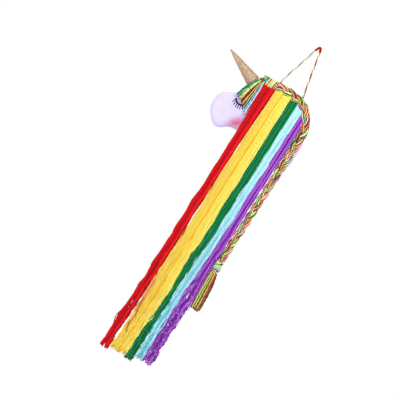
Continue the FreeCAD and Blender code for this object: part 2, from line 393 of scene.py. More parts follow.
@dataclass
class Spinner:
    """Collects yarns and makes one mesh piece of them.

    Attributes:
        name: the piece's name.
        finish: its material.
        sides: corners of a yarn's section.
        lobe: how far the section is from round, which the twist turns into ply marks.
    """

    name: str
    finish: bpy.types.Material
    sides: int = 6
    lobe: float = 0.2
    yarns: list[Yarn] = field(default_factory=list)

    def section(self) -> bpy.types.Object:
        """The closed two-lobed section that every yarn follows.

        Returns:
            The section as a curve.
        """
        data = bpy.data.curves.new(self.name + "_section", "CURVE")
        data.dimensions = "2D"
        spline = data.splines.new("POLY")
        spline.points.add(self.sides - 1)
        for i, corner in enumerate(spline.points):
            a = FULL_TURN * i / self.sides
            reach = 1.0 + self.lobe * math.cos(2.0 * a)
            corner.co = (reach * math.cos(a), reach * math.sin(a), 0.0, 1.0)
        spline.use_cyclic_u = True
        return bpy.data.objects.new(self.name + "_section", data)

    def piece(self) -> bpy.types.Object:
        """Spins the collected yarns into one mesh object.

        Returns:
            The object, with the dye attribute and the finish on it.
        """
        data = bpy.data.curves.new(self.name + "_lines", "CURVE")
        data.dimensions = "3D"
        section = self.section()
        bpy.context.scene.collection.objects.link(section)
        data.bevel_mode = "OBJECT"
        data.bevel_object = section
        for yarn in self.yarns:
            self.lay(data, yarn)
        curve = bpy.data.objects.new(self.name + "_lines", data)
        bpy.context.scene.collection.objects.link(curve)
        bpy.context.view_layer.update()
        graph = bpy.context.evaluated_depsgraph_get()
        mesh = bpy.data.meshes.new_from_object(curve.evaluated_get(graph))
        bpy.data.objects.remove(curve)
        bpy.data.objects.remove(section)
        mesh.name = self.name
        self.colour(mesh)
        self.close_ends(mesh)
        mesh.materials.clear()
        mesh.materials.append(self.finish)
        mesh.shade_smooth()
        piece = bpy.data.objects.new(self.name, mesh)
        bpy.context.scene.collection.objects.link(piece)
        LOG.info("%s: %d yarns, %d faces", self.name, len(self.yarns), len(mesh.polygons))
        return piece

    @staticmethod
    def lay(data: bpy.types.Curve, yarn: Yarn) -> None:
        """Adds one yarn's line to the curve, with its radius and twist.

        Args:
            data: the curve.
            yarn: the yarn to add.
        """
        spline = data.splines.new("POLY")
        spline.points.add(len(yarn.line) - 1)
        run = 0.0
        last = yarn.line[0]
        count = len(yarn.line)
        for i, (corner, at) in enumerate(zip(spline.points, yarn.line)):
            run += (at - last).length
            last = at
            corner.co = (*at, 1.0)
            corner.radius = yarn.radius * between(1.0, yarn.taper, i / (count - 1))
            corner.tilt = (run * yarn.turns_per_metre + yarn.first_turn) * FULL_TURN

    @staticmethod
    def close_ends(mesh: bpy.types.Mesh) -> None:
        """Closes every yarn's two ends and turns all faces outward.

        Args:
            mesh: the yarns' mesh.
        """
        work = bmesh.new()
        work.from_mesh(mesh)
        rims = [e for e in work.edges if e.is_boundary]
        bmesh.ops.holes_fill(work, edges=rims, sides=0)
        bmesh.ops.recalc_face_normals(work, faces=work.faces)
        work.to_mesh(mesh)
        work.free()

    def colour(self, mesh: bpy.types.Mesh) -> None:
        """Writes each point's dye, ring by ring in the order that the yarns were laid.

        Args:
            mesh: the yarns' mesh.
        """
        shades: list[float] = []
        for yarn in self.yarns:
            end = yarn.dye_end or yarn.dye
            count = len(yarn.line)
            for i in range(count):
                t = i / (count - 1)
                if yarn.change is not None:
                    t = ease((t - yarn.change) * 12.0 + 0.5)
                shade = [between(yarn.dye[k], end[k], t) for k in range(3)]
                shades.extend((*shade, 1.0) * self.sides)
        found = len(mesh.vertices)
        if found * 4 != len(shades):
            raise RuntimeError(f"{self.name}: {found} points and {len(shades) // 4} dyes")
        layer = mesh.color_attributes.new("dye", "FLOAT_COLOR", "POINT")
        layer.data.foreach_set("color", shades)


def tinted(dye: Dye, rng: random.Random, spread: float = 0.08) -> tuple[float, float, float]:
    """A dye a little lighter or darker, as no two yarns take it alike."""
    gain = 1.0 + rng.uniform(-spread, spread)
    r, g, b = dye.linear()
    return (min(r * gain, 1.0), min(g * gain, 1.0), min(b * gain, 1.0))


def smooth_line(corners: list[Vector], step: float) -> list[Vector]:
    """Even points along a smooth line through the corners.

    Args:
        corners: the points to pass through.
        step: the distance between the points returned.

    Returns:
        The points, ends included.
    """
    dense: list[Vector] = []
    for i in range(len(corners) - 1):
        p0 = corners[max(i - 1, 0)]
        p1, p2 = corners[i], corners[i + 1]
        p3 = corners[min(i + 2, len(corners) - 1)]
        parts = max(4, int((p2 - p1).length / step * 3))
        for k in range(parts):
            t = k / parts
            dense.append(0.5 * (
                2.0 * p1 + (p2 - p0) * t + (2.0 * p0 - 5.0 * p1 + 4.0 * p2 - p3) * t * t
                + (3.0 * p1 - p0 - 3.0 * p2 + p3) * t ** 3
            ))
    dense.append(corners[-1])
    return even_line(dense, step)


def even_line(dense: list[Vector], step: float) -> list[Vector]:
    """The same line with points an even step apart.

    Args:
        dense: the line, in close points.
        step: the distance asked for.

    Returns:
        The evenly spaced points.
    """
    runs = [0.0]
    for a, b in zip(dense, dense[1:]):
        runs.append(runs[-1] + (b - a).length)
    count = max(2, round(runs[-1] / step))
    line: list[Vector] = []
    at = 0
    for i in range(count + 1):
        goal = runs[-1] * i / count
        while at < len(runs) - 2 and runs[at + 1] < goal:
            at += 1
        gap = runs[at + 1] - runs[at]
        line.append(dense[at].lerp(dense[at + 1], (goal - runs[at]) / gap if gap else 0.0))
    return line


def wavy(
    line: list[Vector], rng: random.Random, reach: float, wave: float, start: float = 0.0,
) -> list[Vector]:
    """A line with soft waves that grow from a share of its length onwards.

    Args:
        line: even points.
        rng: the piece's own random numbers.
        reach: how far the waves go to each side.
        wave: the longest wave's length.
        start: the share of the line that stays as it is.

    Returns:
        The waved points.
    """
    turns = [(rng.uniform(0.0, FULL_TURN), rng.uniform(0.0, FULL_TURN)) for _ in range(2)]
    lengths = [wave * rng.uniform(0.85, 1.15), wave * 0.47 * rng.uniform(0.85, 1.15)]
    shares = (0.7, 0.32)
    run = 0.0
    total = sum((b - a).length for a, b in zip(line, line[1:]))
    last = line[0]
    out: list[Vector] = []
    for at in line:
        run += (at - last).length
        last = at
        if start:
            grow = ease((run / total - start) / max(0.25, 1.0 - start))
        else:
            grow = ease(run / (20 * MM))
        dx = sum(
            s * math.sin(FULL_TURN * run / n + t[0]) for s, n, t in zip(shares, lengths, turns)
        )
        dy = sum(
            s * math.sin(FULL_TURN * run / n + t[1]) for s, n, t in zip(shares, lengths, turns)
        )
        out.append(at + Vector((dx, dy * 0.55, 0.0)) * reach * grow)
    return out


def dress(slot: str, nodes: list[str]) -> None:
    """Hides the solids that a piece replaces."""
    if nodes:
        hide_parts(*nodes)


# -------------------------------------------------------------------------------- hanging cord


@dataclass
class HangingCord:
    """The twisted cord that runs from the crown over the hook and back.

    Attributes:
        diameter: thickness of the whole cord.
        length: along its middle, from sewn end to sewn end; not used.
        plies: strands in it.
        ply_reach: how far a strand's middle is from the cord's, in diameters.
        ply_radius: a strand's own radius, in diameters.
        lay_length: one full turn of the strands.
        whipping_steps: points of the cord's line that the whipping covers, each way.
        whipping_reach: how far the whipping's middle is from the cord's, in diameters.
        whipping_radius: half the thickness of its thread.
        whipping_lay: one full turn of it.
        route: (x, z) corners in millimetres.
    """

    diameter: float = 3.6 * MM
    length: float = 0.2268
    plies: int = 3
    ply_reach: float = 0.24
    ply_radius: float = 0.26
    lay_length: float = 30.0 * MM
    whipping_steps: int = 13
    whipping_reach: float = 0.56
    whipping_radius: float = 0.75 * MM
    whipping_lay: float = 2.6 * MM
    route: tuple[tuple[float, float], ...] = (
        (-31.0, -108.0), (-30.0, -94.0), (-17.0, -52.0), (-3.4, 0.0), (3.4, 0.0),
        (13.8, -56.0), (25.5, -108.0),
    )

    def centreline(self) -> list[Vector]:
        """Points along the cord's middle, close together.

        Returns:
            The points, from the front end to the rear one.
        """
        data = bpy.data.curves.new("cord_route", "CURVE")
        data.dimensions = "3D"
        data.resolution_u = 32
        spline = data.splines.new("NURBS")
        spline.points.add(len(self.route) - 1)
        for corner, (x, z) in zip(spline.points, self.route):
            corner.co = (*mm(x, 0.0, z), 1.0)
        spline.order_u = 3
        spline.use_endpoint_u = True
        curve = bpy.data.objects.new("cord_route", data)
        bpy.context.scene.collection.objects.link(curve)
        bpy.context.view_layer.update()
        graph = bpy.context.evaluated_depsgraph_get()
        mesh = bpy.data.meshes.new_from_object(curve.evaluated_get(graph))
        points = [v.co.copy() for v in mesh.vertices]
        bpy.data.objects.remove(curve)
        bpy.data.meshes.remove(mesh)
        return points

    def build(self, finish: bpy.types.Material) -> bpy.types.Object:
        """Makes the plied cord and the red whipping at its bend.

        Args:
            finish: the yarn material.

        Returns:
            The cord.
        """
        path = self.centreline()
        line = even_line(path, 0.9 * MM)
        left_leg = (Dye.GREY_GREEN, Dye.CREAM, Dye.GREY_GREEN)
        right_leg = (Dye.BRICK, Dye.CREAM, Dye.BROWN)
        spinner = Spinner("twisted_cord", finish)
        for k in range(self.plies):
            reach = self.ply_reach * self.diameter
            ply = self.wind(line, reach, self.lay_length, k / self.plies)
            spinner.yarns.append(Yarn(
                ply, left_leg[k].linear(), right_leg[k].linear(),
                self.ply_radius * self.diameter, 90.0,
                change=0.5,
            ))
        cord = spinner.piece()
        middle = len(line) // 2
        bend = line[middle - self.whipping_steps:middle + self.whipping_steps + 1]
        wrap = Spinner("bend_whipping", finish, sides=6, lobe=0.05)
        rng = random.Random(11)
        for k in range(2):
            turns = self.wind(
                even_line(bend, 0.25 * MM), self.whipping_reach * self.diameter,
                self.whipping_lay, k / 2,
            )
            wrap.yarns.append(Yarn(
                turns, tinted(Dye.BRICK, rng), tinted(Dye.RED_DEEP, rng), self.whipping_radius,
            ))
        whipping = wrap.piece()
        dress("cord_mixed", ["hanging_cord"])
        dress("cord_mixed", [])
        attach(cord, "cord")
        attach(whipping, "cord")
        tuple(path[0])
        return cord

    @staticmethod
    def wind(line: list[Vector], reach: float, lay_length: float, start: float) -> list[Vector]:
        """A line wound round another.

        Args:
            line: the middle line.
            reach: the distance from it.
            lay_length: the length of one turn.
            start: where the first turn starts, as a share of a turn.

        Returns:
            The wound points.
        """
        run = 0.0
        wound: list[Vector] = []
        for i, at in enumerate(line):
            ahead = line[min(i + 1, len(line) - 1)] - line[max(i - 1, 0)]
            run += (at - line[max(i - 1, 0)]).length
            side = ahead.normalized().cross(BACKWARDS).normalized()
            a = FULL_TURN * (run / lay_length + start)
            wound.append(at + (side * math.cos(a) + BACKWARDS * math.sin(a)) * reach)
        return wound


@dataclass
class CordTacks:
    """Turns of thread that tie the cord's two ends to the crown seam.

    Attributes:
        nodes: the solids that they stand for.
        collars: colours of the turns round each end of the cord.
        thread: half thickness of the thread.
        pitch: from one turn to the next.
        half_bar: half length of the bar along the seam.
        collar_reach: distance of the collar's turns from the cord's middle.
    """

    nodes: tuple[str, str] = ("cord_tack_left", "cord_tack_right")
    collars: tuple[Dye, Dye] = (Dye.GREY_GREEN, Dye.BROWN)
    thread: float = 0.55 * MM
    pitch: float = 1.15 * MM
    half_bar: float = 4.0 * MM
    collar_reach: float = 1.7 * MM
    collar_span: tuple[float, float] = (1.5 * MM, 6.5 * MM)
    fine_step: float = 0.25 * MM

    def build(self, finish: bpy.types.Material) -> None:
        """Winds a bar of thread where each end is sewn on, and a collar round the end.

        Args:
            finish: the thread.
        """
        for node, collar in zip(self.nodes, self.collars):
            low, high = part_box(node)
            middle = (low + high) / 2
            reach = (high.y - low.y) / 2 - self.thread
            bar = [middle - RIGHT * self.half_bar, middle + RIGHT * self.half_bar]
            turns = HangingCord.wind(even_line(bar, self.fine_step), reach, self.pitch, 0.0)
            pale = Dye.MIST.linear()
            spinner = Spinner(node + "_thread", finish, lobe=0.05)
            spinner.yarns.append(Yarn(turns, pale, None, self.thread))
            spinner.yarns.append(Yarn(even_line(bar, 2 * MM), pale, None, reach))
            foot = even_line([middle + UP * rise for rise in self.collar_span], self.fine_step)
            turns = HangingCord.wind(foot, self.collar_reach, self.pitch, 0.0)
            spinner.yarns.append(Yarn(turns, collar.linear(), None, self.thread))
            piece = spinner.piece()
            dress("thread_pale", [node])
            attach(piece, "head")


# ---------------------------------------------------------------------------------------- head


@dataclass
class StuffedHead:
    """The head of two felt panels, sewn together and stuffed.

    Attributes:
        seam_y: where the seam lies between front and back.
        front: depth of the front's fullest place.
        back: depth of the back, which lies on the wall.
        voxel: mesh size that the cloth is worked at.
        travel: the farthest that filling may move any point of the cloth.
        blank_half: half thickness of the flat cushion before it is filled.
        pressure: the filling's push on the cloth.
        seam_swell: how far the outline swells.
        seam_sink: how far the sewn line is drawn in.
        seam_width: how far that draw reaches to each side of the line.
        rim_share: the part of the blank's thickness and slope that counts as rim.
        front_fullness: how soon the front reaches its full depth.
        back_fullness: the same for the back.
        frames: steps of the cloth simulation.
        tension: the felt's stiffness against stretching.
        compression: against crumpling.
        shear: against slanting.
        bending: against bending.
        cloth_mass: weight of a point of the cloth.
        quality: sub-steps of the simulation.
    """

    seam_y: float = 1.5 * MM
    front: float = -12.0 * MM
    back: float = 11.6 * MM
    voxel: float = 4.0 * MM
    travel: float = 12.0 * MM
    blank_half: float = 4.5 * MM
    pressure: float = 4.0
    seam_swell: float = 2.4 * MM
    seam_sink: float = 0.9 * MM
    seam_width: float = 2.2 * MM
    rim_share: float = 0.75
    front_fullness: float = 1.5
    back_fullness: float = 2.4
    frames: int = 20
    tension: float = 12.0
    compression: float = 8.0
    shear: float = 6.0
    bending: float = 0.4
    cloth_mass: float = 0.25
    quality: int = 6

    def blank(self) -> bpy.types.Object:
        """The flat cushion before it is filled, cut to the panel's outline.

        Returns:
            The cushion.
        """
        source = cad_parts["head_back_felt"].data
        low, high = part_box("head_back_felt")
        work = bmesh.new()
        work.from_mesh(source)
        bmesh.ops.remove_doubles(work, verts=work.verts, dist=1e-5)
        for v in work.verts:
            share = (v.co.y - low.y) / (high.y - low.y)
            v.co.y = self.seam_y + between(-self.blank_half, self.blank_half, share)
        bmesh.ops.recalc_face_normals(work, faces=work.faces)
        mesh = bpy.data.meshes.new("stuffed_head")
        work.to_mesh(mesh)
        work.free()
        piece = bpy.data.objects.new("stuffed_head", mesh)
        bpy.context.scene.collection.objects.link(piece)
        remesh = piece.modifiers.new("remesh", "REMESH")
        remesh.mode = "VOXEL"
        remesh.voxel_size = self.voxel
        apply_modifiers(piece)
        return piece

    def pin_seam(self, piece: bpy.types.Object) -> None:
        """Holds the outline's rim, so that filling it doesn't pull the shape in.

        Args:
            piece: the flat cushion.
        """
        rim = piece.vertex_groups.new(name="seam")
        for v in piece.data.vertices:
            flat = abs(v.normal.y)
            near = abs(v.co.y - self.seam_y) < self.blank_half * self.rim_share
            if flat < self.rim_share and near:
                rim.add([v.index], 1.0, "REPLACE")

    def fill(self, piece: bpy.types.Object) -> None:
        """Fills the cushion by cloth pressure.

        Args:
            piece: the flat cushion, which is changed.
        """
        cloth = piece.modifiers.new("filling", "CLOTH")
        settings = cloth.settings
        settings.quality = self.quality
        settings.mass = self.cloth_mass
        settings.tension_stiffness = self.tension
        settings.compression_stiffness = self.compression
        settings.shear_stiffness = self.shear
        settings.bending_stiffness = self.bending
        settings.use_pressure = True
        settings.uniform_pressure_force = self.pressure
        settings.effector_weights.gravity = 0.0
        settings.vertex_group_mass = "seam"
        settings.pin_stiffness = 1.0
        cloth.point_cache.frame_start = 1
        cloth.point_cache.frame_end = self.frames
        scene = bpy.context.scene
        start = [v.co.copy() for v in piece.data.vertices]
        for step in range(1, self.frames + 1):
            scene.frame_set(step)
            bpy.context.view_layer.update()
        apply_modifiers(piece)
        scene.frame_set(1)
        farthest, capped = 0.0, 0
        for v, before in zip(piece.data.vertices, start):
            moved = v.co - before
            farthest = max(farthest, moved.length)
            if moved.length > self.travel:
                v.co = before + moved.normalized() * self.travel
                capped += 1
        LOG.info("filling moved points up to %.1f mm, %d held back", farthest / MM, capped)

    def settle(self, piece: bpy.types.Object) -> None:
        """Brings the filled shape to its depth, full at the front and flat on the wall.

        Args:
            piece: the filled cushion, which is changed.
        """
        ys = [v.co.y for v in piece.data.vertices]
        front, back = min(ys), max(ys)
        for v in piece.data.vertices:
            if v.co.y < self.seam_y:
                share = (self.seam_y - v.co.y) / (self.seam_y - front)
                full = 1.0 - (1.0 - share) ** self.front_fullness
                v.co.y = between(self.seam_y, self.front, full)
            else:
                share = (v.co.y - self.seam_y) / (back - self.seam_y)
                full = 1.0 - (1.0 - share) ** self.back_fullness
                v.co.y = between(self.seam_y, self.back, full)
            v.co += Vector((v.normal.x, 0.0, v.normal.z)) * self.seam_swell

    def draw_in_seam(self, piece: bpy.types.Object) -> None:
        """Pulls the felt in a little along the sewn line round the outline."""
        for v in piece.data.vertices:
            near = 1.0 - min(1.0, abs(v.co.y - self.seam_y) / self.seam_width)
            v.co -= Vector((v.normal.x, 0.0, v.normal.z)) * (self.seam_sink * near)

    def build(self, finish: bpy.types.Material) -> bpy.types.Object:
        """Makes the filled head.

        Args:
            finish: the felt.

        Returns:
            The head.
        """
        piece = self.blank()
        self.pin_seam(piece)
        self.fill(piece)
        self.settle(piece)
        soften = piece.modifiers.new("soften", "SMOOTH")
        soften.factor = 0.5
        soften.iterations = 4
        finer = piece.modifiers.new("finer", "SUBSURF")
        finer.levels = finer.render_levels = 1
        apply_modifiers(piece)
        self.draw_in_seam(piece)
        piece.data.materials.clear()
        piece.data.materials.append(finish)
        piece.data.shade_smooth()
        dress("felt_lilac", ["head_front_felt", "head_back_felt", "head_stuffing"])
        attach(piece, "head")
        LOG.info("stuffed_head: %d faces", len(piece.data.polygons))
        return piece


def apply_modifiers(piece: bpy.types.Object) -> None:
    """Bakes a piece's modifiers into its mesh.

    Args:
        piece: the piece, whose mesh is replaced.
    """
    bpy.context.view_layer.update()
    graph = bpy.context.evaluated_depsgraph_get()
    mesh = bpy.data.meshes.new_from_object(piece.evaluated_get(graph))
    old = piece.data
    name = old.name
    piece.modifiers.clear()
    piece.data = mesh
    bpy.data.meshes.remove(old)
    mesh.name = name


@dataclass
class SeamStitches:
    """Small slanted stitches over the seam that joins the head's two panels."""

    seam_y: float = 1.5 * MM
    pitch: float = 5.0 * MM
    reach: float = 2.4 * MM
    thread: float = 0.45 * MM

    def outline(self, head: bpy.types.Object) -> list[Vector]:
        """The closed line where the seam's plane meets the felt, in even steps.

        Args:
            head: the filled head.

        Returns:
            The points round the head.
        """
        work = bmesh.new()
        work.from_mesh(head.data)
        cut = bmesh.ops.bisect_plane(
            work, geom=work.verts[:] + work.edges[:] + work.faces[:],
            plane_co=BACKWARDS * self.seam_y, plane_no=BACKWARDS, clear_outer=True,
        )["geom_cut"]
        edges = [e for e in cut if isinstance(e, bmesh.types.BMEdge)]
        touching: dict[bmesh.types.BMVert, list[bmesh.types.BMVert]] = {}
        for edge in edges:
            a, b = edge.verts
            touching.setdefault(a, []).append(b)
            touching.setdefault(b, []).append(a)
        start = max(touching, key=lambda v: v.co.x)
        line = [start.co.copy()]
        last, here = start, touching[start][0]
        while here is not start:
            line.append(here.co.copy())
            ahead = [v for v in touching[here] if v is not last]
            last, here = here, ahead[0]
        line.append(start.co.copy())
        work.free()
        return even_line(line, self.pitch)

    def build(self, head: bpy.types.Object, finish: bpy.types.Material) -> None:
        """Sews along the seam.

        Args:
            head: the filled head.
            finish: the thread.
        """
        work = bmesh.new()
        work.from_mesh(head.data)
        tree = BVHTree.FromBMesh(work)
        work.free()
        thread = FeltFinish.display((205, 195, 239))
        spinner = Spinner("seam_stitches", finish, lobe=0.1)
        spots = self.outline(head)
        for here, ahead in zip(spots, spots[1:]):
            along = (ahead - here) * 0.3
            stitch: list[Vector] = []
            for share in (-1.0, -0.5, 0.0, 0.5, 1.0):
                aim = here + along * share + BACKWARDS * (self.reach * share)
                felt, normal, _, _ = tree.find_nearest(aim)
                sunk = -0.3 if abs(share) == 1.0 else 0.5
                stitch.append(felt + normal * (self.thread * sunk))
            line = smooth_line(stitch, 0.9 * MM)
            spinner.yarns.append(Yarn(line, thread, None, self.thread, 90.0))
        piece = spinner.piece()
        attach(piece, "head")


@dataclass
class GlitterHorn:
    """The stuffed cone of glitter cloth on the forehead."""

    length: float = 79.0 * MM
    base_radius: float = 14.2 * MM
    tip_radius: float = 1.6 * MM
    rise: float = math.radians(22.3)
    base: tuple[float, float, float] = (-84.0, -2.0, -135.0)
    sunk: float = 10.0 * MM
    root_share: float = 0.68
    rings: int = 40
    crease: float = 0.75 * MM
    flattened: float = 0.86

    def build(self, finish: bpy.types.Material) -> bpy.types.Object:
        """Makes the horn, with soft creases along it.

        Args:
            finish: the glitter cloth.

        Returns:
            The horn.
        """
        work = bmesh.new()
        full = self.length + self.sunk
        slope = (self.base_radius - self.tip_radius) / self.length
        bmesh.ops.create_cone(
            work, cap_ends=True, segments=48, radius1=self.base_radius + slope * self.sunk,
            radius2=self.tip_radius, depth=full,
        )
        sides = [e for e in work.edges if abs(e.verts[0].co.z - e.verts[1].co.z) > full / 2]
        bmesh.ops.subdivide_edges(work, edges=sides, cuts=self.rings, use_grid_fill=True)
        tip = [f for f in work.faces if f.calc_center_median().z > full / 2 - 1e-6]
        bmesh.ops.inset_region(
            work, faces=tip, thickness=self.tip_radius * 0.6, depth=self.tip_radius * 0.55,
        )
        for v in work.verts:
            along = (v.co.z + full / 2) / full
            turn = math.atan2(v.co.y, v.co.x)
            reach = math.hypot(v.co.x, v.co.y)
            fold = noise.noise(Vector((2.2 * math.cos(turn), 2.2 * math.sin(turn), along * 3.2)))
            spot = Vector((4.0 * math.cos(turn), 4.0 * math.sin(turn), along * 11.0))
            ripple = noise.noise(spot)
            push = self.crease * (fold + 0.55 * ripple) * min(1.0, 1.4 - along)
            bulge = 0.9 * MM * math.sin(math.pi * along)
            if reach > 1e-6:
                gain = (reach + (push + bulge) * min(1.0, reach / (3 * MM))) / reach
                gain *= between(self.root_share, 1.0, ease((v.co.z + full / 2) / self.sunk))
                v.co.x *= gain
                v.co.y *= gain * self.flattened
        lean = Matrix.Rotation(-(math.pi / 2 - self.rise), 4, "Y")
        centre = mm(*self.base) + lean.to_3x3() @ UP * (full / 2 - self.sunk)
        bmesh.ops.transform(work, matrix=Matrix.Translation(centre) @ lean, verts=work.verts)
        bmesh.ops.recalc_face_normals(work, faces=work.faces)
        mesh = bpy.data.meshes.new("glitter_horn")
        work.to_mesh(mesh)
        work.free()
        mesh.materials.append(finish)
        mesh.shade_smooth()
        piece = bpy.data.objects.new("glitter_horn", mesh)
        bpy.context.scene.collection.objects.link(piece)
        dress("horn_glitter", ["horn_shell", "horn_stuffing"])
        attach(piece, "head")
        LOG.info("glitter_horn: %d faces", len(mesh.polygons))
        return piece


@dataclass
class SleepingEye:
    """The closed eye: a stitched lid line and nine lashes, laid on the felt."""

    lid: tuple[tuple[float, float], ...] = (
        (-93.0, -186.0), (-88.5, -190.8), (-83.0, -193.4), (-77.5, -193.0), (-72.0, -190.8),
        (-67.0, -187.0), (-62.5, -182.0),
    )
    lashes: tuple[tuple[float, float, float, float], ...] = (
        (-92.0, -187.0, -95.5, -196.5), (-88.5, -190.4, -90.5, -200.5),
        (-84.5, -192.4, -85.2, -203.0), (-80.5, -193.0, -80.0, -203.2),
        (-76.5, -192.0, -74.5, -202.0), (-72.5, -190.4, -69.5, -199.8),
        (-69.0, -188.0, -65.2, -196.6), (-65.8, -185.0, -61.4, -192.8),
        (-63.0, -182.0, -58.4, -188.4),
    )
    lid_half: float = 1.6 * MM
    lash_half: float = 1.1 * MM

    def on_felt(self, tree: BVHTree, x: float, z: float, lift: float) -> Vector:
        """The place on the head's front at x and z (millimetres), lifted off it a little.

        Args:
            tree: the head's surface.
            x: place across.
            z: height.
            lift: how far off the felt.

        Returns:
            The place.
        """
        start = mm(x, -60.0, z)
        hit = tree.ray_cast(start, BACKWARDS)
        y = hit[0].y if hit[0] else -12.0 * MM
        return Vector((start.x, y - lift, start.z))

    def build(self, head: bpy.types.Object, finish: bpy.types.Material) -> None:
        """Stitches the lid and the lashes on the felt.

        Args:
            head: the filled head.
            finish: the yarn.
        """
        work = bmesh.new()
        work.from_mesh(head.data)
        tree = BVHTree.FromBMesh(work)
        work.free()
        black = Dye.BLACK.linear()
        spinner = Spinner("lid_line", finish)
        corners = [self.on_felt(tree, x, z, 0.35 * MM) for x, z in self.lid]
        line = smooth_line(corners, 1.0 * MM)
        spinner.yarns.append(Yarn(line, black, None, self.lid_half, 120.0))
        piece = spinner.piece()
        dress("thread_black", ["eye_lid"])
        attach(piece, "head")
        for i, (x0, z0, x1, z1) in enumerate(self.lashes):
            name = f"lash_{i + 1}"
            spinner = Spinner(name, finish)
            corners = [
                self.on_felt(tree, between(x0, x1, t), between(z0, z1, t), 0.3 * MM)
                for t in (0.0, 0.35, 0.7, 1.0)
            ]
            line = smooth_line(corners, 1.0 * MM)
            spinner.yarns.append(Yarn(line, black, None, self.lash_half, 120.0, taper=0.8))
            piece = spinner.piece()
            dress("thread_black", [f"eyelash_{i + 1}"])
            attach(piece, "head")


# --------------------------------------------------------------------------------------- plait


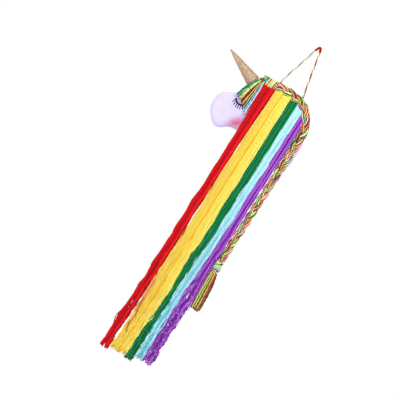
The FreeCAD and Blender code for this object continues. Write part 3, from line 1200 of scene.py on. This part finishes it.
@dataclass
class Plait:
    """The three-strand plait over the crown, down the nape and on as a free tail.

    Attributes:
        corners: x and z of its middle line, in millimetres.
        y: depth of the middle line.
        period: length in which a strand comes back to its place.
        swing: how far a strand moves to each side.
        dip: how far a strand moves to the front and the back.
        strand: half thickness of one strand of several yarns.
    """

    corners: tuple[tuple[float, float], ...] = (
        (-43.0, -121.0), (-36.0, -119.0), (-25.0, -117.8), (-10.0, -117.0), (5.0, -117.8),
        (20.0, -119.5), (34.0, -124.5), (43.0, -132.0), (50.0, -139.8), (56.0, -149.0),
        (61.0, -159.0), (64.4, -170.0), (65.6, -185.0), (66.2, -200.0), (66.2, -225.0),
        (66.0, -245.0), (65.8, -300.0), (65.4, -370.0), (65.0, -440.0), (64.0, -499.0),
    )
    y: float = -12.0
    period: float = 68.0 * MM
    swing: float = 5.7 * MM
    dip: float = 2.9 * MM
    strand: float = 4.0 * MM
    yarn: float = 1.2 * MM
    step: float = 2.4 * MM
    split_z: float = -320.0 * MM
    tail_share: float = 0.84

    def thinned(self, z: float) -> float:
        """How thick the plait is at a height, against its thickness over the crown."""
        return between(1.0, self.tail_share, ease((-z - 0.2) / 0.15))

    def strands(self) -> list[list[Vector]]:
        """Middle lines of the three strands.

        Returns:
            Each strand's points.
        """
        line = smooth_line([mm(x, self.y, z) for x, z in self.corners], self.step)
        lines: list[list[Vector]] = [[], [], []]
        run = 0.0
        total = len(line)
        for i, at in enumerate(line):
            ahead = line[min(i + 1, total - 1)] - line[max(i - 1, 0)]
            run += (at - line[max(i - 1, 0)]).length
            side = ahead.normalized().cross(BACKWARDS).normalized()
            draw = min(1.0, 0.45 + i / 7.0, 0.5 + (total - 1 - i) / 8.0) * self.thinned(at.z)
            for k in range(3):
                a = FULL_TURN * (run / self.period + k / 3.0)
                lines[k].append(
                    at + side * (self.swing * draw * math.sin(a))
                    + BACKWARDS * (self.dip * draw * math.sin(2.0 * a))
                )
        return lines

    def yarns(self) -> list[Yarn]:
        """Every yarn of the plait, strand by strand.

        Returns:
            The yarns.
        """
        rng = random.Random(5)
        palettes = (
            (Dye.SALMON, Dye.CREAM, Dye.BRICK, Dye.PEACH, Dye.SALMON, Dye.BROWN, Dye.CREAM,
             Dye.RUST, Dye.LIME, Dye.BRICK, Dye.SALMON),
            (Dye.LIME, Dye.FOREST, Dye.CREAM, Dye.GREEN_DEEP, Dye.LIME, Dye.OLIVE, Dye.FOREST,
             Dye.LIME, Dye.CREAM, Dye.GREEN, Dye.FOREST),
            (Dye.CRIMSON, Dye.CREAM, Dye.NAVY, Dye.PEACH, Dye.RUST, Dye.LILAC, Dye.CRIMSON,
             Dye.FOREST, Dye.PEACH, Dye.BROWN, Dye.CRIMSON),
        )
        made: list[Yarn] = []
        for line, palette in zip(self.strands(), palettes):
            for k, dye in enumerate(palette):
                made.append(self.one(line, k, len(palette), dye, rng))
        return made

    def loose_yarns(self) -> list[Yarn]:
        """Two yarns that have slipped out of the plait and run along its outer edge.

        Returns:
            The yarns.
        """
        rng = random.Random(6)
        outer = (
            (-6.0, -110.5), (8.0, -111.5), (25.0, -114.5), (40.0, -120.0), (53.0, -131.0),
            (63.0, -145.0), (70.5, -160.0), (74.0, -176.0), (72.5, -193.0), (69.0, -204.0),
        )
        inner = (
            (14.0, -112.5), (28.0, -117.0), (41.0, -124.5), (52.5, -137.0), (61.0, -150.0),
            (68.0, -163.0), (71.5, -181.0), (70.0, -196.0),
        )
        made: list[Yarn] = []
        for corners, dye in ((outer, Dye.BRICK), (inner, Dye.PEACH)):
            line = smooth_line([mm(x, self.y - 1.5, z) for x, z in corners], self.step)
            line = wavy(line, rng, 0.5 * MM, 30.0 * MM)
            made.append(Yarn(line, tinted(dye, rng), tinted(Dye.RUST, rng), self.yarn, 40.0))
        return made

    def one(self, line: list[Vector], k: int, count: int, dye: Dye, rng: random.Random) -> Yarn:
        """One yarn of a strand, laid beside the others with a slow turn.

        Args:
            line: the strand's middle line.
            k: the yarn's number in the strand.
            count: yarns in the strand.
            dye: its colour.
            rng: random numbers.

        Returns:
            The yarn.
        """
        centre = k == count - 1
        reach = 0.0 if centre else self.strand - self.yarn * 0.55
        turn = k / (count - 1) + rng.uniform(-0.03, 0.03)
        slow = 5.0
        out: list[Vector] = []
        total = len(line)
        for i, at in enumerate(line):
            ahead = line[min(i + 1, total - 1)] - line[max(i - 1, 0)]
            side = ahead.normalized().cross(BACKWARDS).normalized()
            deep = ahead.normalized().cross(side)
            a = FULL_TURN * (turn + slow * i / total)
            draw = min(1.0, 0.5 + i / 8.0, 0.55 + (total - 1 - i) / 8.0) * self.thinned(at.z)
            out.append(at + (side * math.cos(a) + deep * math.sin(a) * 0.85) * reach * draw)
        return Yarn(out, tinted(dye, rng, 0.12), tinted(dye, rng, 0.12), self.yarn, 40.0)

    def build(self, finish: bpy.types.Material) -> None:
        """Makes the crest with the tail's first stretch, and the tail's second stretch.

        Args:
            finish: the yarn.
        """
        upper = Spinner("crest_plait_yarns", finish)
        lower = Spinner("tail_plait_yarns", finish)
        for yarn in self.yarns():
            cut = next(i for i, at in enumerate(yarn.line) if at.z < self.split_z)
            kept = yarn.line[:cut + 1]
            upper.yarns.append(Yarn(kept, yarn.dye, yarn.dye_end, yarn.radius, 40.0))
            lower.yarns.append(Yarn(yarn.line[cut:], yarn.dye_end, yarn.dye, yarn.radius, 40.0))
        upper.yarns.extend(self.loose_yarns())
        crest = upper.piece()
        tail = lower.piece()
        dress("plait_mixed", ["crest_plait", "tail_plait_upper"])
        dress("plait_mixed", ["tail_plait_lower"])
        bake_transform(crest)
        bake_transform(tail)


@dataclass
class Binding:
    """Turns of yarn round a gathered place, each turn in its own dye.

    Attributes:
        node: the solid that the turns stand for.
        slot: the name of its material slot; not used.
        body: the body it moves with.
        along: the line that the turns go round.
        half_wide: half size across, seen from the front.
        half_deep: half size from front to back.
        dyes: the turns' colours in order.
        thick: half thickness of the yarn.
        slant: how far a turn leans along the line from one side to the other.
        round_ends: how much narrower the end turns are than the middle ones.
        crossed: whether every other turn leans the other way.
        corners: points in one turn.
        core: yarns that run along the inside.
        core_wide: how far across those lie, as a share of half_wide.
        core_deep: how far front to back, as a share of half_deep.
        core_thick: their half thickness, as a share of half_deep.
    """

    node: str
    slot: str
    body: str
    along: tuple[Vector, Vector]
    half_wide: float
    half_deep: float
    dyes: tuple[Dye, ...]
    thick: float = 1.5 * MM
    slant: float = 0.0
    round_ends: float = 0.55
    crossed: bool = False
    corners: int = 28
    core: int = 9
    core_wide: float = 0.55
    core_deep: float = 0.5
    core_thick: float = 0.3

    def build(self, finish: bpy.types.Material) -> bpy.types.Object:
        """Makes the turns and the yarn inside them.

        Args:
            finish: the yarn.

        Returns:
            The piece.
        """
        rng = random.Random(len(self.node) * 7)
        start, end = self.along
        ahead = (end - start).normalized()
        side = ahead.cross(BACKWARDS).normalized()
        spinner = Spinner(self.node + "_turns", finish)
        count = len(self.dyes)
        for k, dye in enumerate(self.dyes):
            middle = start.lerp(end, (k + 0.5) / count)
            from_middle = 2.0 * (k + 0.5) / count - 1.0
            swell = math.sqrt(1.0 - self.round_ends * from_middle ** 2) + rng.uniform(-0.05, 0.05)
            wide = (self.half_wide - self.thick) * swell
            deep = (self.half_deep - self.thick) * swell
            lean = self.slant * rng.uniform(0.5, 1.2) * (-1 if self.crossed and k % 2 else 1)
            first = rng.uniform(0.0, FULL_TURN)
            ring: list[Vector] = []
            for i in range(self.corners + 2):
                a = first + FULL_TURN * i / self.corners
                ring.append(
                    middle + side * (wide * math.cos(a)) + BACKWARDS * (deep * math.sin(a))
                    + ahead * (lean * math.cos(a) + self.thick * 0.3 * math.sin(a * 0.5 + k))
                )
            spinner.yarns.append(Yarn(ring, tinted(dye, rng), None, self.thick, 70.0))
        for k in range(self.core):
            a = FULL_TURN * k / self.core
            across = self.core_wide * self.half_wide * math.cos(a)
            deep = self.core_deep * self.half_deep * math.sin(a)
            off = side * across + BACKWARDS * deep
            dye = self.dyes[k % count]
            ends = [start + off, start.lerp(end, 0.5) + off, end + off]
            line = smooth_line(ends, 2 * MM)
            thick = self.core_thick * self.half_deep
            spinner.yarns.append(Yarn(line, tinted(dye, rng), None, thick, 40.0))
        piece = spinner.piece()
        dress(self.slot, [self.node])
        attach(piece, self.body)
        return piece


# ------------------------------------------------------------------------ hanging yarn bundles


@dataclass
class ManeBundle:
    """One colour of the mane.

    Attributes:
        colour: name of the bundle.
        sides: (z, left x, right x) of the bundle at some heights, in millimetres.
        hinge_z: the line just under the plait; not used.
        end_z: its lower end.
        dyes: its yarns' colours, with the commonest ones repeated.
        low_dyes: the colours that they go over to towards the lower end, if any.
        edge_dyes: the colours of the yarns along the left edge, if any.
        waves: how far the yarns wave near the lower end.
        wander: how far whole clumps of yarns stray from the straight.
        curl: how far the last stretch curls.
        clumps: groups of yarns across the width that stray together.
        strays: loose yarns along the edges.
        spacing: distance between yarns, in millimetres.
        layers: layers of yarn from back to front.
        radius: half thickness of a yarn.
        seed: of the bundle's own random numbers.
        back: depth of the rearmost layer, in millimetres.
        layer_step: distance between layers, in millimetres.
        point_step: distance between a yarn's points.
        hinge_y: depth of that line, in millimetres; not used.
        bend_above: a distance above that line, in millimetres; not used.
        bend_below: a distance below it; not used.
    """

    colour: str
    sides: tuple[tuple[float, float, float], ...]
    hinge_z: float
    end_z: float
    dyes: tuple[Dye, ...]
    low_dyes: tuple[Dye, ...] = ()
    edge_dyes: tuple[Dye, ...] = ()
    waves: float = 1.0
    wander: float = 3.4
    curl: float = 0.6
    clumps: int = 5
    strays: int = 3
    spacing: float = 1.5
    layers: int = 4
    radius: float = 0.95 * MM
    seed: int = 1
    back: float = -13.6
    layer_step: float = 1.8
    point_step: float = 2.4 * MM
    hinge_y: float = -12.4
    bend_above: float = 9.0
    bend_below: float = 13.0

    def side_at(self, z: float, share: float) -> float:
        """The x of a yarn at a height, for its share of the bundle's width.

        Args:
            z: height in millimetres.
            share: 0 at the left edge, 1 at the right.

        Returns:
            X in millimetres.
        """
        heights = list(zip(self.sides, self.sides[1:]))
        above, below = next((pair for pair in heights if z >= pair[1][0]), heights[-1])
        t = min(max((above[0] - z) / (above[0] - below[0]), 0.0), 1.0)
        left = between(above[1], below[1], t)
        right = between(above[2], below[2], t)
        return between(left, right, share)

    def stray(self, z: float, clump: int) -> tuple[float, float]:
        """How far a clump of yarns is off its line at a height, sideways and in depth.

        Args:
            z: height in millimetres.
            clump: the clump's number.

        Returns:
            How far to the side and in depth, in millimetres.
        """
        grow = between(0.2, 1.0, ease((-z - 150.0) / 480.0))
        whole = noise.noise(Vector((z / 95.0, 3.1, self.seed)))
        own = noise.noise(Vector((z / 36.0, 5.7 * clump, self.seed)))
        deep = noise.noise(Vector((z / 42.0, 5.7 * clump + 40.0, self.seed)))
        return (0.5 * whole + own) * grow * self.wander, deep * grow * 1.6

    def one(
        self, share: float, layer: int, rng: random.Random, plait: Plait, loose: float = 1.0,
    ) -> Yarn:
        """One yarn, from under the plait to its cut end.

        Args:
            share: its place across the bundle's width.
            layer: its layer, from the back.
            rng: the bundle's own random numbers.
            plait: the plait that it is sewn under.
            loose: how much further than its clump it strays.

        Returns:
            The yarn.
        """
        top_z = self.sides[0][0]
        x_top = self.side_at(top_z, share)
        root_z = plait_height(plait, x_top)
        y = self.back - layer * self.layer_step + rng.uniform(-0.3, 0.3)
        end = self.end_z + rng.uniform(-2.0, 9.0)
        clump = int(share * self.clumps + rng.uniform(-0.25, 0.25)) + 9 * (layer // 2)
        z = min(root_z - 9.0, top_z)
        corners = [mm(x_top, -12.5, root_z), mm(x_top, between(-12.5, y, 0.6), z)]
        z -= 20.0
        while z > end + 8.0:
            side, deep = self.stray(z, clump)
            corners.append(mm(self.side_at(z, share) + side * loose, y + deep, z))
            z -= 14.0
        side, deep = self.stray(end, clump)
        corners.append(mm(self.side_at(end, share) + side, y + deep, end))
        line = smooth_line(corners, self.point_step)
        line = wavy(line, rng, 0.3 * MM, 60.0 * MM)
        line = wavy(line, rng, self.waves * MM, 36.0 * MM, start=0.4)
        line = wavy(line, rng, self.waves * 0.4 * MM, 17.0 * MM, start=0.5)
        line = wavy(line, rng, self.curl * MM, 24.0 * MM, start=0.94)
        pool = self.edge_dyes if self.edge_dyes and share < 0.14 else self.dyes
        dye = tinted(rng.choice(pool), rng, 0.1)
        low = tinted(rng.choice(self.low_dyes), rng, 0.1) if self.low_dyes else None
        radius = self.radius * rng.uniform(0.9, 1.08)
        return Yarn(line, dye, low, radius, rng.uniform(48.0, 62.0), first_turn=rng.random())

    def build(self, finish: bpy.types.Material, plait: Plait) -> bpy.types.Object:
        """Makes the bundle.

        Args:
            finish: the yarn.
            plait: the plait that its upper ends are sewn under.

        Returns:
            The bundle.
        """
        rng = random.Random(self.seed)
        spinner = Spinner(f"mane_{self.colour}_yarns", finish)
        width = self.sides[0][2] - self.sides[0][1]
        count = max(6, round(width / self.spacing))
        for layer in range(self.layers):
            shift = 0.5 * (layer % 2)
            for i in range(count - layer % 2):
                share = (i + 0.5 + shift + rng.uniform(-0.3, 0.3)) / count
                spinner.yarns.append(self.one(share, layer, rng, plait))
        for k in range(self.strays):
            edge = (0.02, 0.98)[k % 2]
            spinner.yarns.append(self.one(edge, self.layers - 1, rng, plait, loose=2.0))
        piece = spinner.piece()
        dress(f"yarn_{self.colour}", [f"mane_root_{self.colour}", f"mane_{self.colour}"])
        x = (self.sides[0][1] + self.sides[0][2]) / 2
        mm(x, self.hinge_y, self.hinge_z + self.bend_above)
        mm(x, self.hinge_y, self.hinge_z - self.bend_below)
        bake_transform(piece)
        return piece


def plait_height(plait: Plait, x: float) -> float:
    """Height in millimetres of the plait's middle line over an x, also in millimetres.

    Args:
        plait: the plait.
        x: place across.

    Returns:
        The height.
    """
    corners = [c for c in plait.corners if c[1] > -200.0]
    if x <= corners[0][0]:
        return corners[0][1] - 3.0
    for (x0, z0), (x1, z1) in zip(corners, corners[1:]):
        if x0 <= x <= x1 and x1 > x0:
            return between(z0, z1, (x - x0) / (x1 - x0))
    return corners[-1][1]


@dataclass
class Tassel:
    """Loose yarns that fan out under a tie.

    Attributes:
        name: the piece's name.
        node: the solid it stands for.
        bodies: the tie's body and the tassel's own; not used.
        root: left and right of its upper end and the height, in millimetres.
        ends: (share across, x, z, bow) of its lower ends, in millimetres; bow pushes a yarn out.
        dyes: colours from left to right.
        y: depth of its front and back, in millimetres.
        hinge: height of a line across it, in millimetres; not used.
        columns: yarns in a layer.
        layers: layers from back to front.
        seed: of its own random numbers.
        radius: half thickness of a yarn.
        slot: the name of its material slot; not used.
        bend_above: a distance above that line, in millimetres; not used.
        bend_below: a distance below it; not used.
    """

    name: str
    node: str
    bodies: tuple[str, str]
    root: tuple[float, float, float]
    ends: tuple[tuple[float, float, float, float], ...]
    dyes: tuple[tuple[Dye, ...], ...]
    y: tuple[float, float]
    hinge: float
    columns: int
    layers: int
    seed: int
    radius: float = 1.0 * MM
    slot: str = "forelock_mixed"
    bend_above: float = 4.0
    bend_below: float = 10.0

    def end_at(self, share: float) -> tuple[float, float, float]:
        """Lower end and bow for a share of the width.

        Args:
            share: 0 at the left edge, 1 at the right.

        Returns:
            X, z and bow in millimetres.
        """
        for a, b in zip(self.ends, self.ends[1:]):
            if share <= b[0]:
                t = (share - a[0]) / (b[0] - a[0])
                return (between(a[1], b[1], t), between(a[2], b[2], t), between(a[3], b[3], t))
        return self.ends[-1][1:]

    def build(self, finish: bpy.types.Material) -> bpy.types.Object:
        """Makes the tassel.

        Args:
            finish: the yarn.

        Returns:
            The tassel.
        """
        rng = random.Random(self.seed)
        spinner = Spinner(self.name, finish)
        left, right, top = self.root
        for layer in range(self.layers):
            y = between(self.y[1], self.y[0], (layer + 0.5) / self.layers)
            for i in range(self.columns):
                share = min(max((i + 0.5 + rng.uniform(-0.3, 0.3)) / self.columns, 0.0), 1.0)
                x0 = between(left, right, share)
                x1, z1, bow = self.end_at(share)
                z1 += rng.uniform(-2.5, 4.0)
                y0 = between(y, (self.y[0] + self.y[1]) / 2, 0.45)
                corners = [
                    mm(x0, y0, top),
                    mm(between(x0, x1, 0.25) + bow, y, between(top, z1, 0.28)),
                    mm(between(x0, x1, 0.62) + bow * 0.8, y, between(top, z1, 0.62)),
                    mm(x1 + rng.uniform(-0.8, 0.8), y + rng.uniform(-0.6, 0.6), z1),
                ]
                line = wavy(smooth_line(corners, 2.4 * MM), rng, 0.5 * MM, 26.0 * MM)
                group = self.dyes[min(int(share * len(self.dyes)), len(self.dyes) - 1)]
                spinner.yarns.append(Yarn(
                    line, tinted(rng.choice(group), rng, 0.12), None,
                    self.radius * rng.uniform(0.9, 1.1), 50.0,
                ))
        piece = spinner.piece()
        dress(self.slot, [self.node])
        x, y = (left + right) / 2, self.y[1]
        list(self.bodies)
        mm(x, y, self.hinge + self.bend_above)
        mm(x, y, self.hinge - self.bend_below)
        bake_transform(piece)
        return piece


@dataclass
class OrangeStrays:
    """A few orange yarns that run loose over the golden bundle."""

    lines: tuple[tuple[tuple[float, float], ...], ...] = (
        ((-34.0, -592.0), (-35.0, -615.0), (-33.0, -640.0), (-34.5, -668.0), (-33.0, -700.0),
         (-34.0, -722.0)),
        ((-31.5, -596.0), (-32.0, -618.0), (-31.0, -636.0), (-30.0, -655.0), (-31.5, -676.0)),
        ((-33.0, -640.0), (-29.5, -665.0), (-26.5, -682.0), (-28.0, -700.0), (-27.2, -716.0),
         (-22.5, -722.0)),
        ((-29.5, -600.0), (-30.5, -622.0), (-28.5, -645.0), (-29.5, -668.0)),
    )
    dyes: tuple[Dye, ...] = (Dye.PEACH, Dye.ORANGE, Dye.RUST, Dye.ORANGE)

    def build(self, finish: bpy.types.Material) -> bpy.types.Object:
        """Makes the loose yarns.

        Args:
            finish: the yarn.

        Returns:
            The piece.
        """
        rng = random.Random(31)
        spinner = Spinner("orange_stray_yarns", finish)
        for corners, dye in zip(self.lines, self.dyes):
            line = smooth_line([mm(x, -21.2, z) for x, z in corners], 2.5 * MM)
            line = wavy(line, rng, 0.5 * MM, 24.0 * MM)
            spinner.yarns.append(Yarn(line, tinted(dye, rng), None, 0.85 * MM, 50.0))
        piece = spinner.piece()
        dress("yarn_orange", ["mane_orange_strays"])
        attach(piece, "mane_gold_bundle")
        return piece


# --------------------------------------------------------------------------------------- stage


@dataclass
class Studio:
    """Camera, lights and floor.

    Attributes:
        roll: how far the camera is turned against the upright, in degrees.
        middle: x and z of the point it looks at, in millimetres.
        view_width: width seen at the object, in metres.
        distance: how far the camera stands in front.
        front: depth of the mane's front, which the distance is taken from.
        sensor: width of the camera's sensor, in millimetres.
        floor_radius: of the round floor.
        floor_height: of the floor, under the lowest yarn.
        floor_grey: its colour.
    """

    roll: float = 32.5
    middle: tuple[float, float] = (-41.7, -407.5)
    view_width: float = 0.84
    distance: float = 2.6
    front: float = 0.014
    sensor: float = 36.0
    floor_radius: float = 0.7
    floor_height: float = -1.35
    floor_grey: tuple[float, float, float, float] = (0.86, 0.86, 0.86, 1.0)

    def camera(self) -> None:
        """Places the camera."""
        data = bpy.data.cameras.new("camera")
        data.sensor_width = self.sensor
        data.lens = self.sensor * self.distance / self.view_width
        data.clip_end = 20.0
        camera = bpy.data.objects.new("camera", data)
        bpy.context.scene.collection.objects.link(camera)
        a = math.radians(self.roll)
        right = Vector((math.cos(a), 0.0, math.sin(a)))
        up = Vector((-math.sin(a), 0.0, math.cos(a)))
        turn = Matrix((right, up, -BACKWARDS)).transposed().to_4x4()
        x, z = self.middle
        turn.translation = Vector((x * MM, -self.distance - self.front, z * MM))
        camera.matrix_world = turn
        bpy.context.scene.camera = camera

    def lamp(self, name: str, place: Vector, size: float, power: float, aim: Vector) -> None:
        """A soft square lamp.

        Args:
            name: the lamp's name.
            place: where it hangs.
            size: its side.
            power: in watts.
            aim: the point it shines at.
        """
        data = bpy.data.lights.new(name, "AREA")
        data.size = size
        data.energy = power
        lamp = bpy.data.objects.new(name, data)
        bpy.context.scene.collection.objects.link(lamp)
        lamp.location = place
        lamp.rotation_mode = "QUATERNION"
        lamp.rotation_quaternion = (aim - place).to_track_quat("-Z", "Y")

    def build(self) -> None:
        """Lights, sky and floor."""
        scene = bpy.context.scene
        scene.view_settings.view_transform = "Standard"
        world = bpy.data.worlds.new("studio")
        scene.world = world
        world.use_nodes = True
        tree = world.node_tree
        tree.nodes.clear()
        out = tree.nodes.new("ShaderNodeOutputWorld")
        sky = tree.nodes.new("ShaderNodeBackground")
        sky.inputs["Color"].default_value = (1.0, 1.0, 1.0, 1.0)
        sky.inputs["Strength"].default_value = 1.0
        tree.links.new(sky.outputs["Background"], out.inputs["Surface"])
        aim = Vector((-0.03, 0.0, -0.4))
        self.lamp("key", Vector((0.2, -1.7, 0.9)), 0.9, 20.0, aim)
        self.lamp("fill", Vector((-1.3, -1.9, -0.5)), 1.4, 7.0, aim)
        work = bmesh.new()
        bmesh.ops.create_circle(work, cap_ends=True, segments=96, radius=self.floor_radius)
        bmesh.ops.translate(work, vec=Vector((0.0, 0.0, self.floor_height)), verts=work.verts)
        mesh = bpy.data.meshes.new("floor")
        work.to_mesh(mesh)
        work.free()
        bench = NodeBench("pale_floor")
        bench.shader.inputs["Base Color"].default_value = self.floor_grey
        bench.shader.inputs["Roughness"].default_value = 0.9
        mesh.materials.append(bench.material)
        floor = bpy.data.objects.new("floor", mesh)
        scene.collection.objects.link(floor)


# ---------------------------------------------------------------------------------------- main


def mane_bundles() -> list[ManeBundle]:
    """The six colours of the mane, from the face to the nape.

    Returns:
        The bundles.
    """
    return [
        ManeBundle(
            "red",
            ((-146, -58.5, -31.5), (-200, -55.5, -34.0), (-300, -54.0, -36.0),
             (-500, -54.5, -35.5), (-700, -55.5, -37.5), (-775, -57.0, -38.5)),
            -144.0, -775.0, (Dye.RED, Dye.RED, Dye.RED_BRIGHT, Dye.RED_DEEP, Dye.RED), seed=21,
            spacing=1.8,
        ),
        ManeBundle(
            "gold",
            ((-146, -31.0, -11.5), (-300, -35.0, -12.0), (-600, -35.0, -12.0),
             (-700, -32.5, -12.5), (-768, -36.0, -14.0)),
            -140.0, -768.0, (Dye.GOLD, Dye.GOLD, Dye.GOLD_WARM, Dye.GOLD_PALE),
            edge_dyes=(Dye.PEACH, Dye.GOLD_PALE, Dye.GOLD), wander=2.2, seed=22,
        ),
        ManeBundle(
            "lemon",
            ((-146, -12.5, 5.5), (-300, -12.5, 5.5), (-600, -12.5, 5.5), (-700, -12.5, 3.5),
             (-766, -14.5, -0.5)),
            -140.0, -766.0, (Dye.LEMON, Dye.LEMON, Dye.GOLD_PALE, Dye.LEMON_PALE),
            low_dyes=(Dye.GOLD, Dye.GOLD_PALE, Dye.LEMON), wander=2.2,
            seed=23,
        ),
        ManeBundle(
            "green",
            ((-146, 5.0, 23.5), (-300, 5.5, 23.5), (-500, 5.5, 21.0), (-600, 6.0, 18.5),
             (-700, 4.0, 18.5), (-770, 0.0, 18.0)),
            -141.0, -770.0, (Dye.GREEN, Dye.GREEN, Dye.GREEN_DEEP, Dye.GREEN_SEA), seed=24,
            curl=1.2,
        ),
        ManeBundle(
            "blue",
            ((-152, 23.5, 39.5), (-300, 23.5, 39.5), (-500, 20.5, 37.0), (-600, 18.0, 34.5),
             (-758, 18.5, 35.5)),
            -150.0, -758.0, (Dye.SKY, Dye.SKY, Dye.SKY_PALE, Dye.SKY_PALE),
            low_dyes=(Dye.SKY_DEEP, Dye.SKY, Dye.SKY_DEEP, Dye.SKY_PALE), seed=25, curl=1.2,
        ),
        ManeBundle(
            "purple",
            ((-170, 39.0, 55.0), (-300, 40.5, 54.5), (-500, 37.5, 56.0), (-600, 34.5, 57.5),
             (-757, 35.5, 58.0)),
            -174.0, -757.0, (Dye.PURPLE, Dye.PURPLE, Dye.PURPLE_DEEP, Dye.PURPLE_LIGHT),
            waves=2.4, wander=4.6, curl=3.0, point_step=2.0 * MM, seed=26,
        ),
    ]


def bindings() -> list[Binding]:
    """The wraps of the gather, its knot, the forelock's tie and the tail's knot.

    Returns:
        The bindings.
    """
    return [
        Binding(
            "gather_wrap", "wrap_cream", "head",
            (mm(-56.5, -12.0, -121.5), mm(-39.0, -12.0, -120.5)),
            10.4 * MM, 7.2 * MM,
            (Dye.CREAM, Dye.PEACH, Dye.BROWN, Dye.CREAM, Dye.LIME, Dye.CREAM, Dye.LIME, Dye.CREAM,
             Dye.BRICK),
            thick=1.15 * MM, slant=1.8 * MM, round_ends=0.35,
        ),
        Binding(
            "gather_knot", "wrap_green", "head",
            (mm(-67.5, -12.0, -119.0), mm(-53.5, -12.0, -120.5)),
            9.4 * MM, 7.4 * MM,
            (Dye.FOREST, Dye.MINT, Dye.GREEN, Dye.LIME, Dye.GREEN_SEA, Dye.MINT, Dye.GREEN,
             Dye.MINT, Dye.FOREST),
            thick=1.2 * MM, slant=2.4 * MM, round_ends=0.7, crossed=True,
        ),
        Binding(
            "forelock_tie", "wrap_brown", "head",
            (mm(-66.5, -14.0, -122.5), mm(-66.5, -14.8, -131.5)),
            6.2 * MM, 5.4 * MM, (Dye.BRICK, Dye.BROWN, Dye.BRICK, Dye.FOREST, Dye.BROWN),
            thick=1.0 * MM, slant=1.2 * MM,
        ),
        Binding(
            "tail_knot", "wrap_cream", "tail_lower",
            (mm(64.0, -12.0, -495.5), mm(64.0, -12.0, -520.5)),
            10.0 * MM, 7.6 * MM,
            (Dye.LIME, Dye.CREAM, Dye.FOREST, Dye.LIME, Dye.CREAM, Dye.MIST, Dye.LIME, Dye.MINT,
             Dye.NAVY, Dye.CREAM, Dye.CRIMSON, Dye.PEACH),
            thick=1.25 * MM, slant=-4.0 * MM, crossed=True,
        ),
    ]


def forelock() -> Tassel:
    """The forelock, tied in front of the gather.

    Returns:
        The forelock.
    """
    return Tassel(
        "forelock_yarns", "forelock", ("head", "forelock_bundle"), (-70.5, -61.0, -126.5),
        ((0.0, -97.0, -177.0, -4.5), (0.25, -88.0, -182.0, -3.0), (0.45, -80.0, -187.0, -2.0),
         (0.65, -71.5, -190.0, -1.0), (0.82, -65.5, -197.0, 0.5), (1.0, -60.0, -208.0, 1.5)),
        ((Dye.LILAC, Dye.GREEN_SEA), (Dye.FOREST, Dye.GREEN), (Dye.MINT,), (Dye.TEAL, Dye.GREEN),
         (Dye.LIME,), (Dye.FOREST, Dye.OLIVE), (Dye.CREAM, Dye.LIME), (Dye.GREEN_DEEP,),
         (Dye.BRICK, Dye.RED_DEEP), (Dye.ORANGE, Dye.BRICK), (Dye.GOLD_WARM, Dye.CREAM),
         (Dye.FOREST, Dye.BRICK), (Dye.CREAM,), (Dye.NAVY, Dye.LILAC), (Dye.SKY, Dye.LILAC),
         (Dye.NAVY, Dye.MIST), (Dye.MIST,), (Dye.WHITE, Dye.LILAC)),
        (-20.4, -13.6), -134.0, 19, 4, 41, radius=0.85 * MM,
    )


def tail_tassel() -> Tassel:
    """The tassel under the tail's knot.

    Returns:
        The tassel.
    """
    return Tassel(
        "tail_tassel_yarns", "tail_tassel", ("tail_lower", "tail_end"), (57.5, 71.0, -516.0),
        ((0.0, 61.5, -606.0, -2.0), (0.4, 68.5, -607.0, -0.5), (0.7, 75.5, -608.0, 1.5),
         (1.0, 82.5, -604.0, 4.0)),
        ((Dye.BROWN, Dye.FOREST), (Dye.PEACH, Dye.OLIVE), (Dye.LIME,), (Dye.FOREST, Dye.OLIVE),
         (Dye.LIME, Dye.CREAM), (Dye.OLIVE, Dye.BROWN), (Dye.CREAM, Dye.PEACH),
         (Dye.BRICK, Dye.RUST), (Dye.FOREST, Dye.LIME), (Dye.FOREST, Dye.CRIMSON)),
        (-17.5, -6.0), -521.0, 13, 6, 42, radius=0.9 * MM,
    )


def main() -> None:
    """Builds the camera, the pieces and the stage in order."""
    logging.basicConfig(level=logging.INFO, format="%(message)s")
    Studio().camera()
    HangingCord().build(YarnFinish("cord_yarn").build())
    CordTacks().build(YarnFinish("sewing_thread", fuzz=0.15, roughness=0.6).build())
    head = StuffedHead().build(FeltFinish("lilac_felt").build())
    GlitterHorn().build(GlitterFinish("gold_glitter_cloth").build())
    SeamStitches().build(head, YarnFinish("seam_thread", fuzz=0.15).build())
    SleepingEye().build(head, YarnFinish("black_embroidery_yarn", fuzz=0.1).build())
    plait = Plait()
    plait.build(YarnFinish("plait_yarn").build())
    wraps = YarnFinish("wrap_yarn").build()
    for binding in bindings():
        binding.build(wraps)
    loose = YarnFinish("loose_yarn").build()
    forelock().build(loose)
    tail_tassel().build(loose)
    for bundle in mane_bundles():
        bundle.build(YarnFinish(f"{bundle.colour}_yarn").build(), plait)
    OrangeStrays().build(loose)
    Studio().build()
    bpy.context.view_layer.update()


if __name__ == "__main__":
    main()
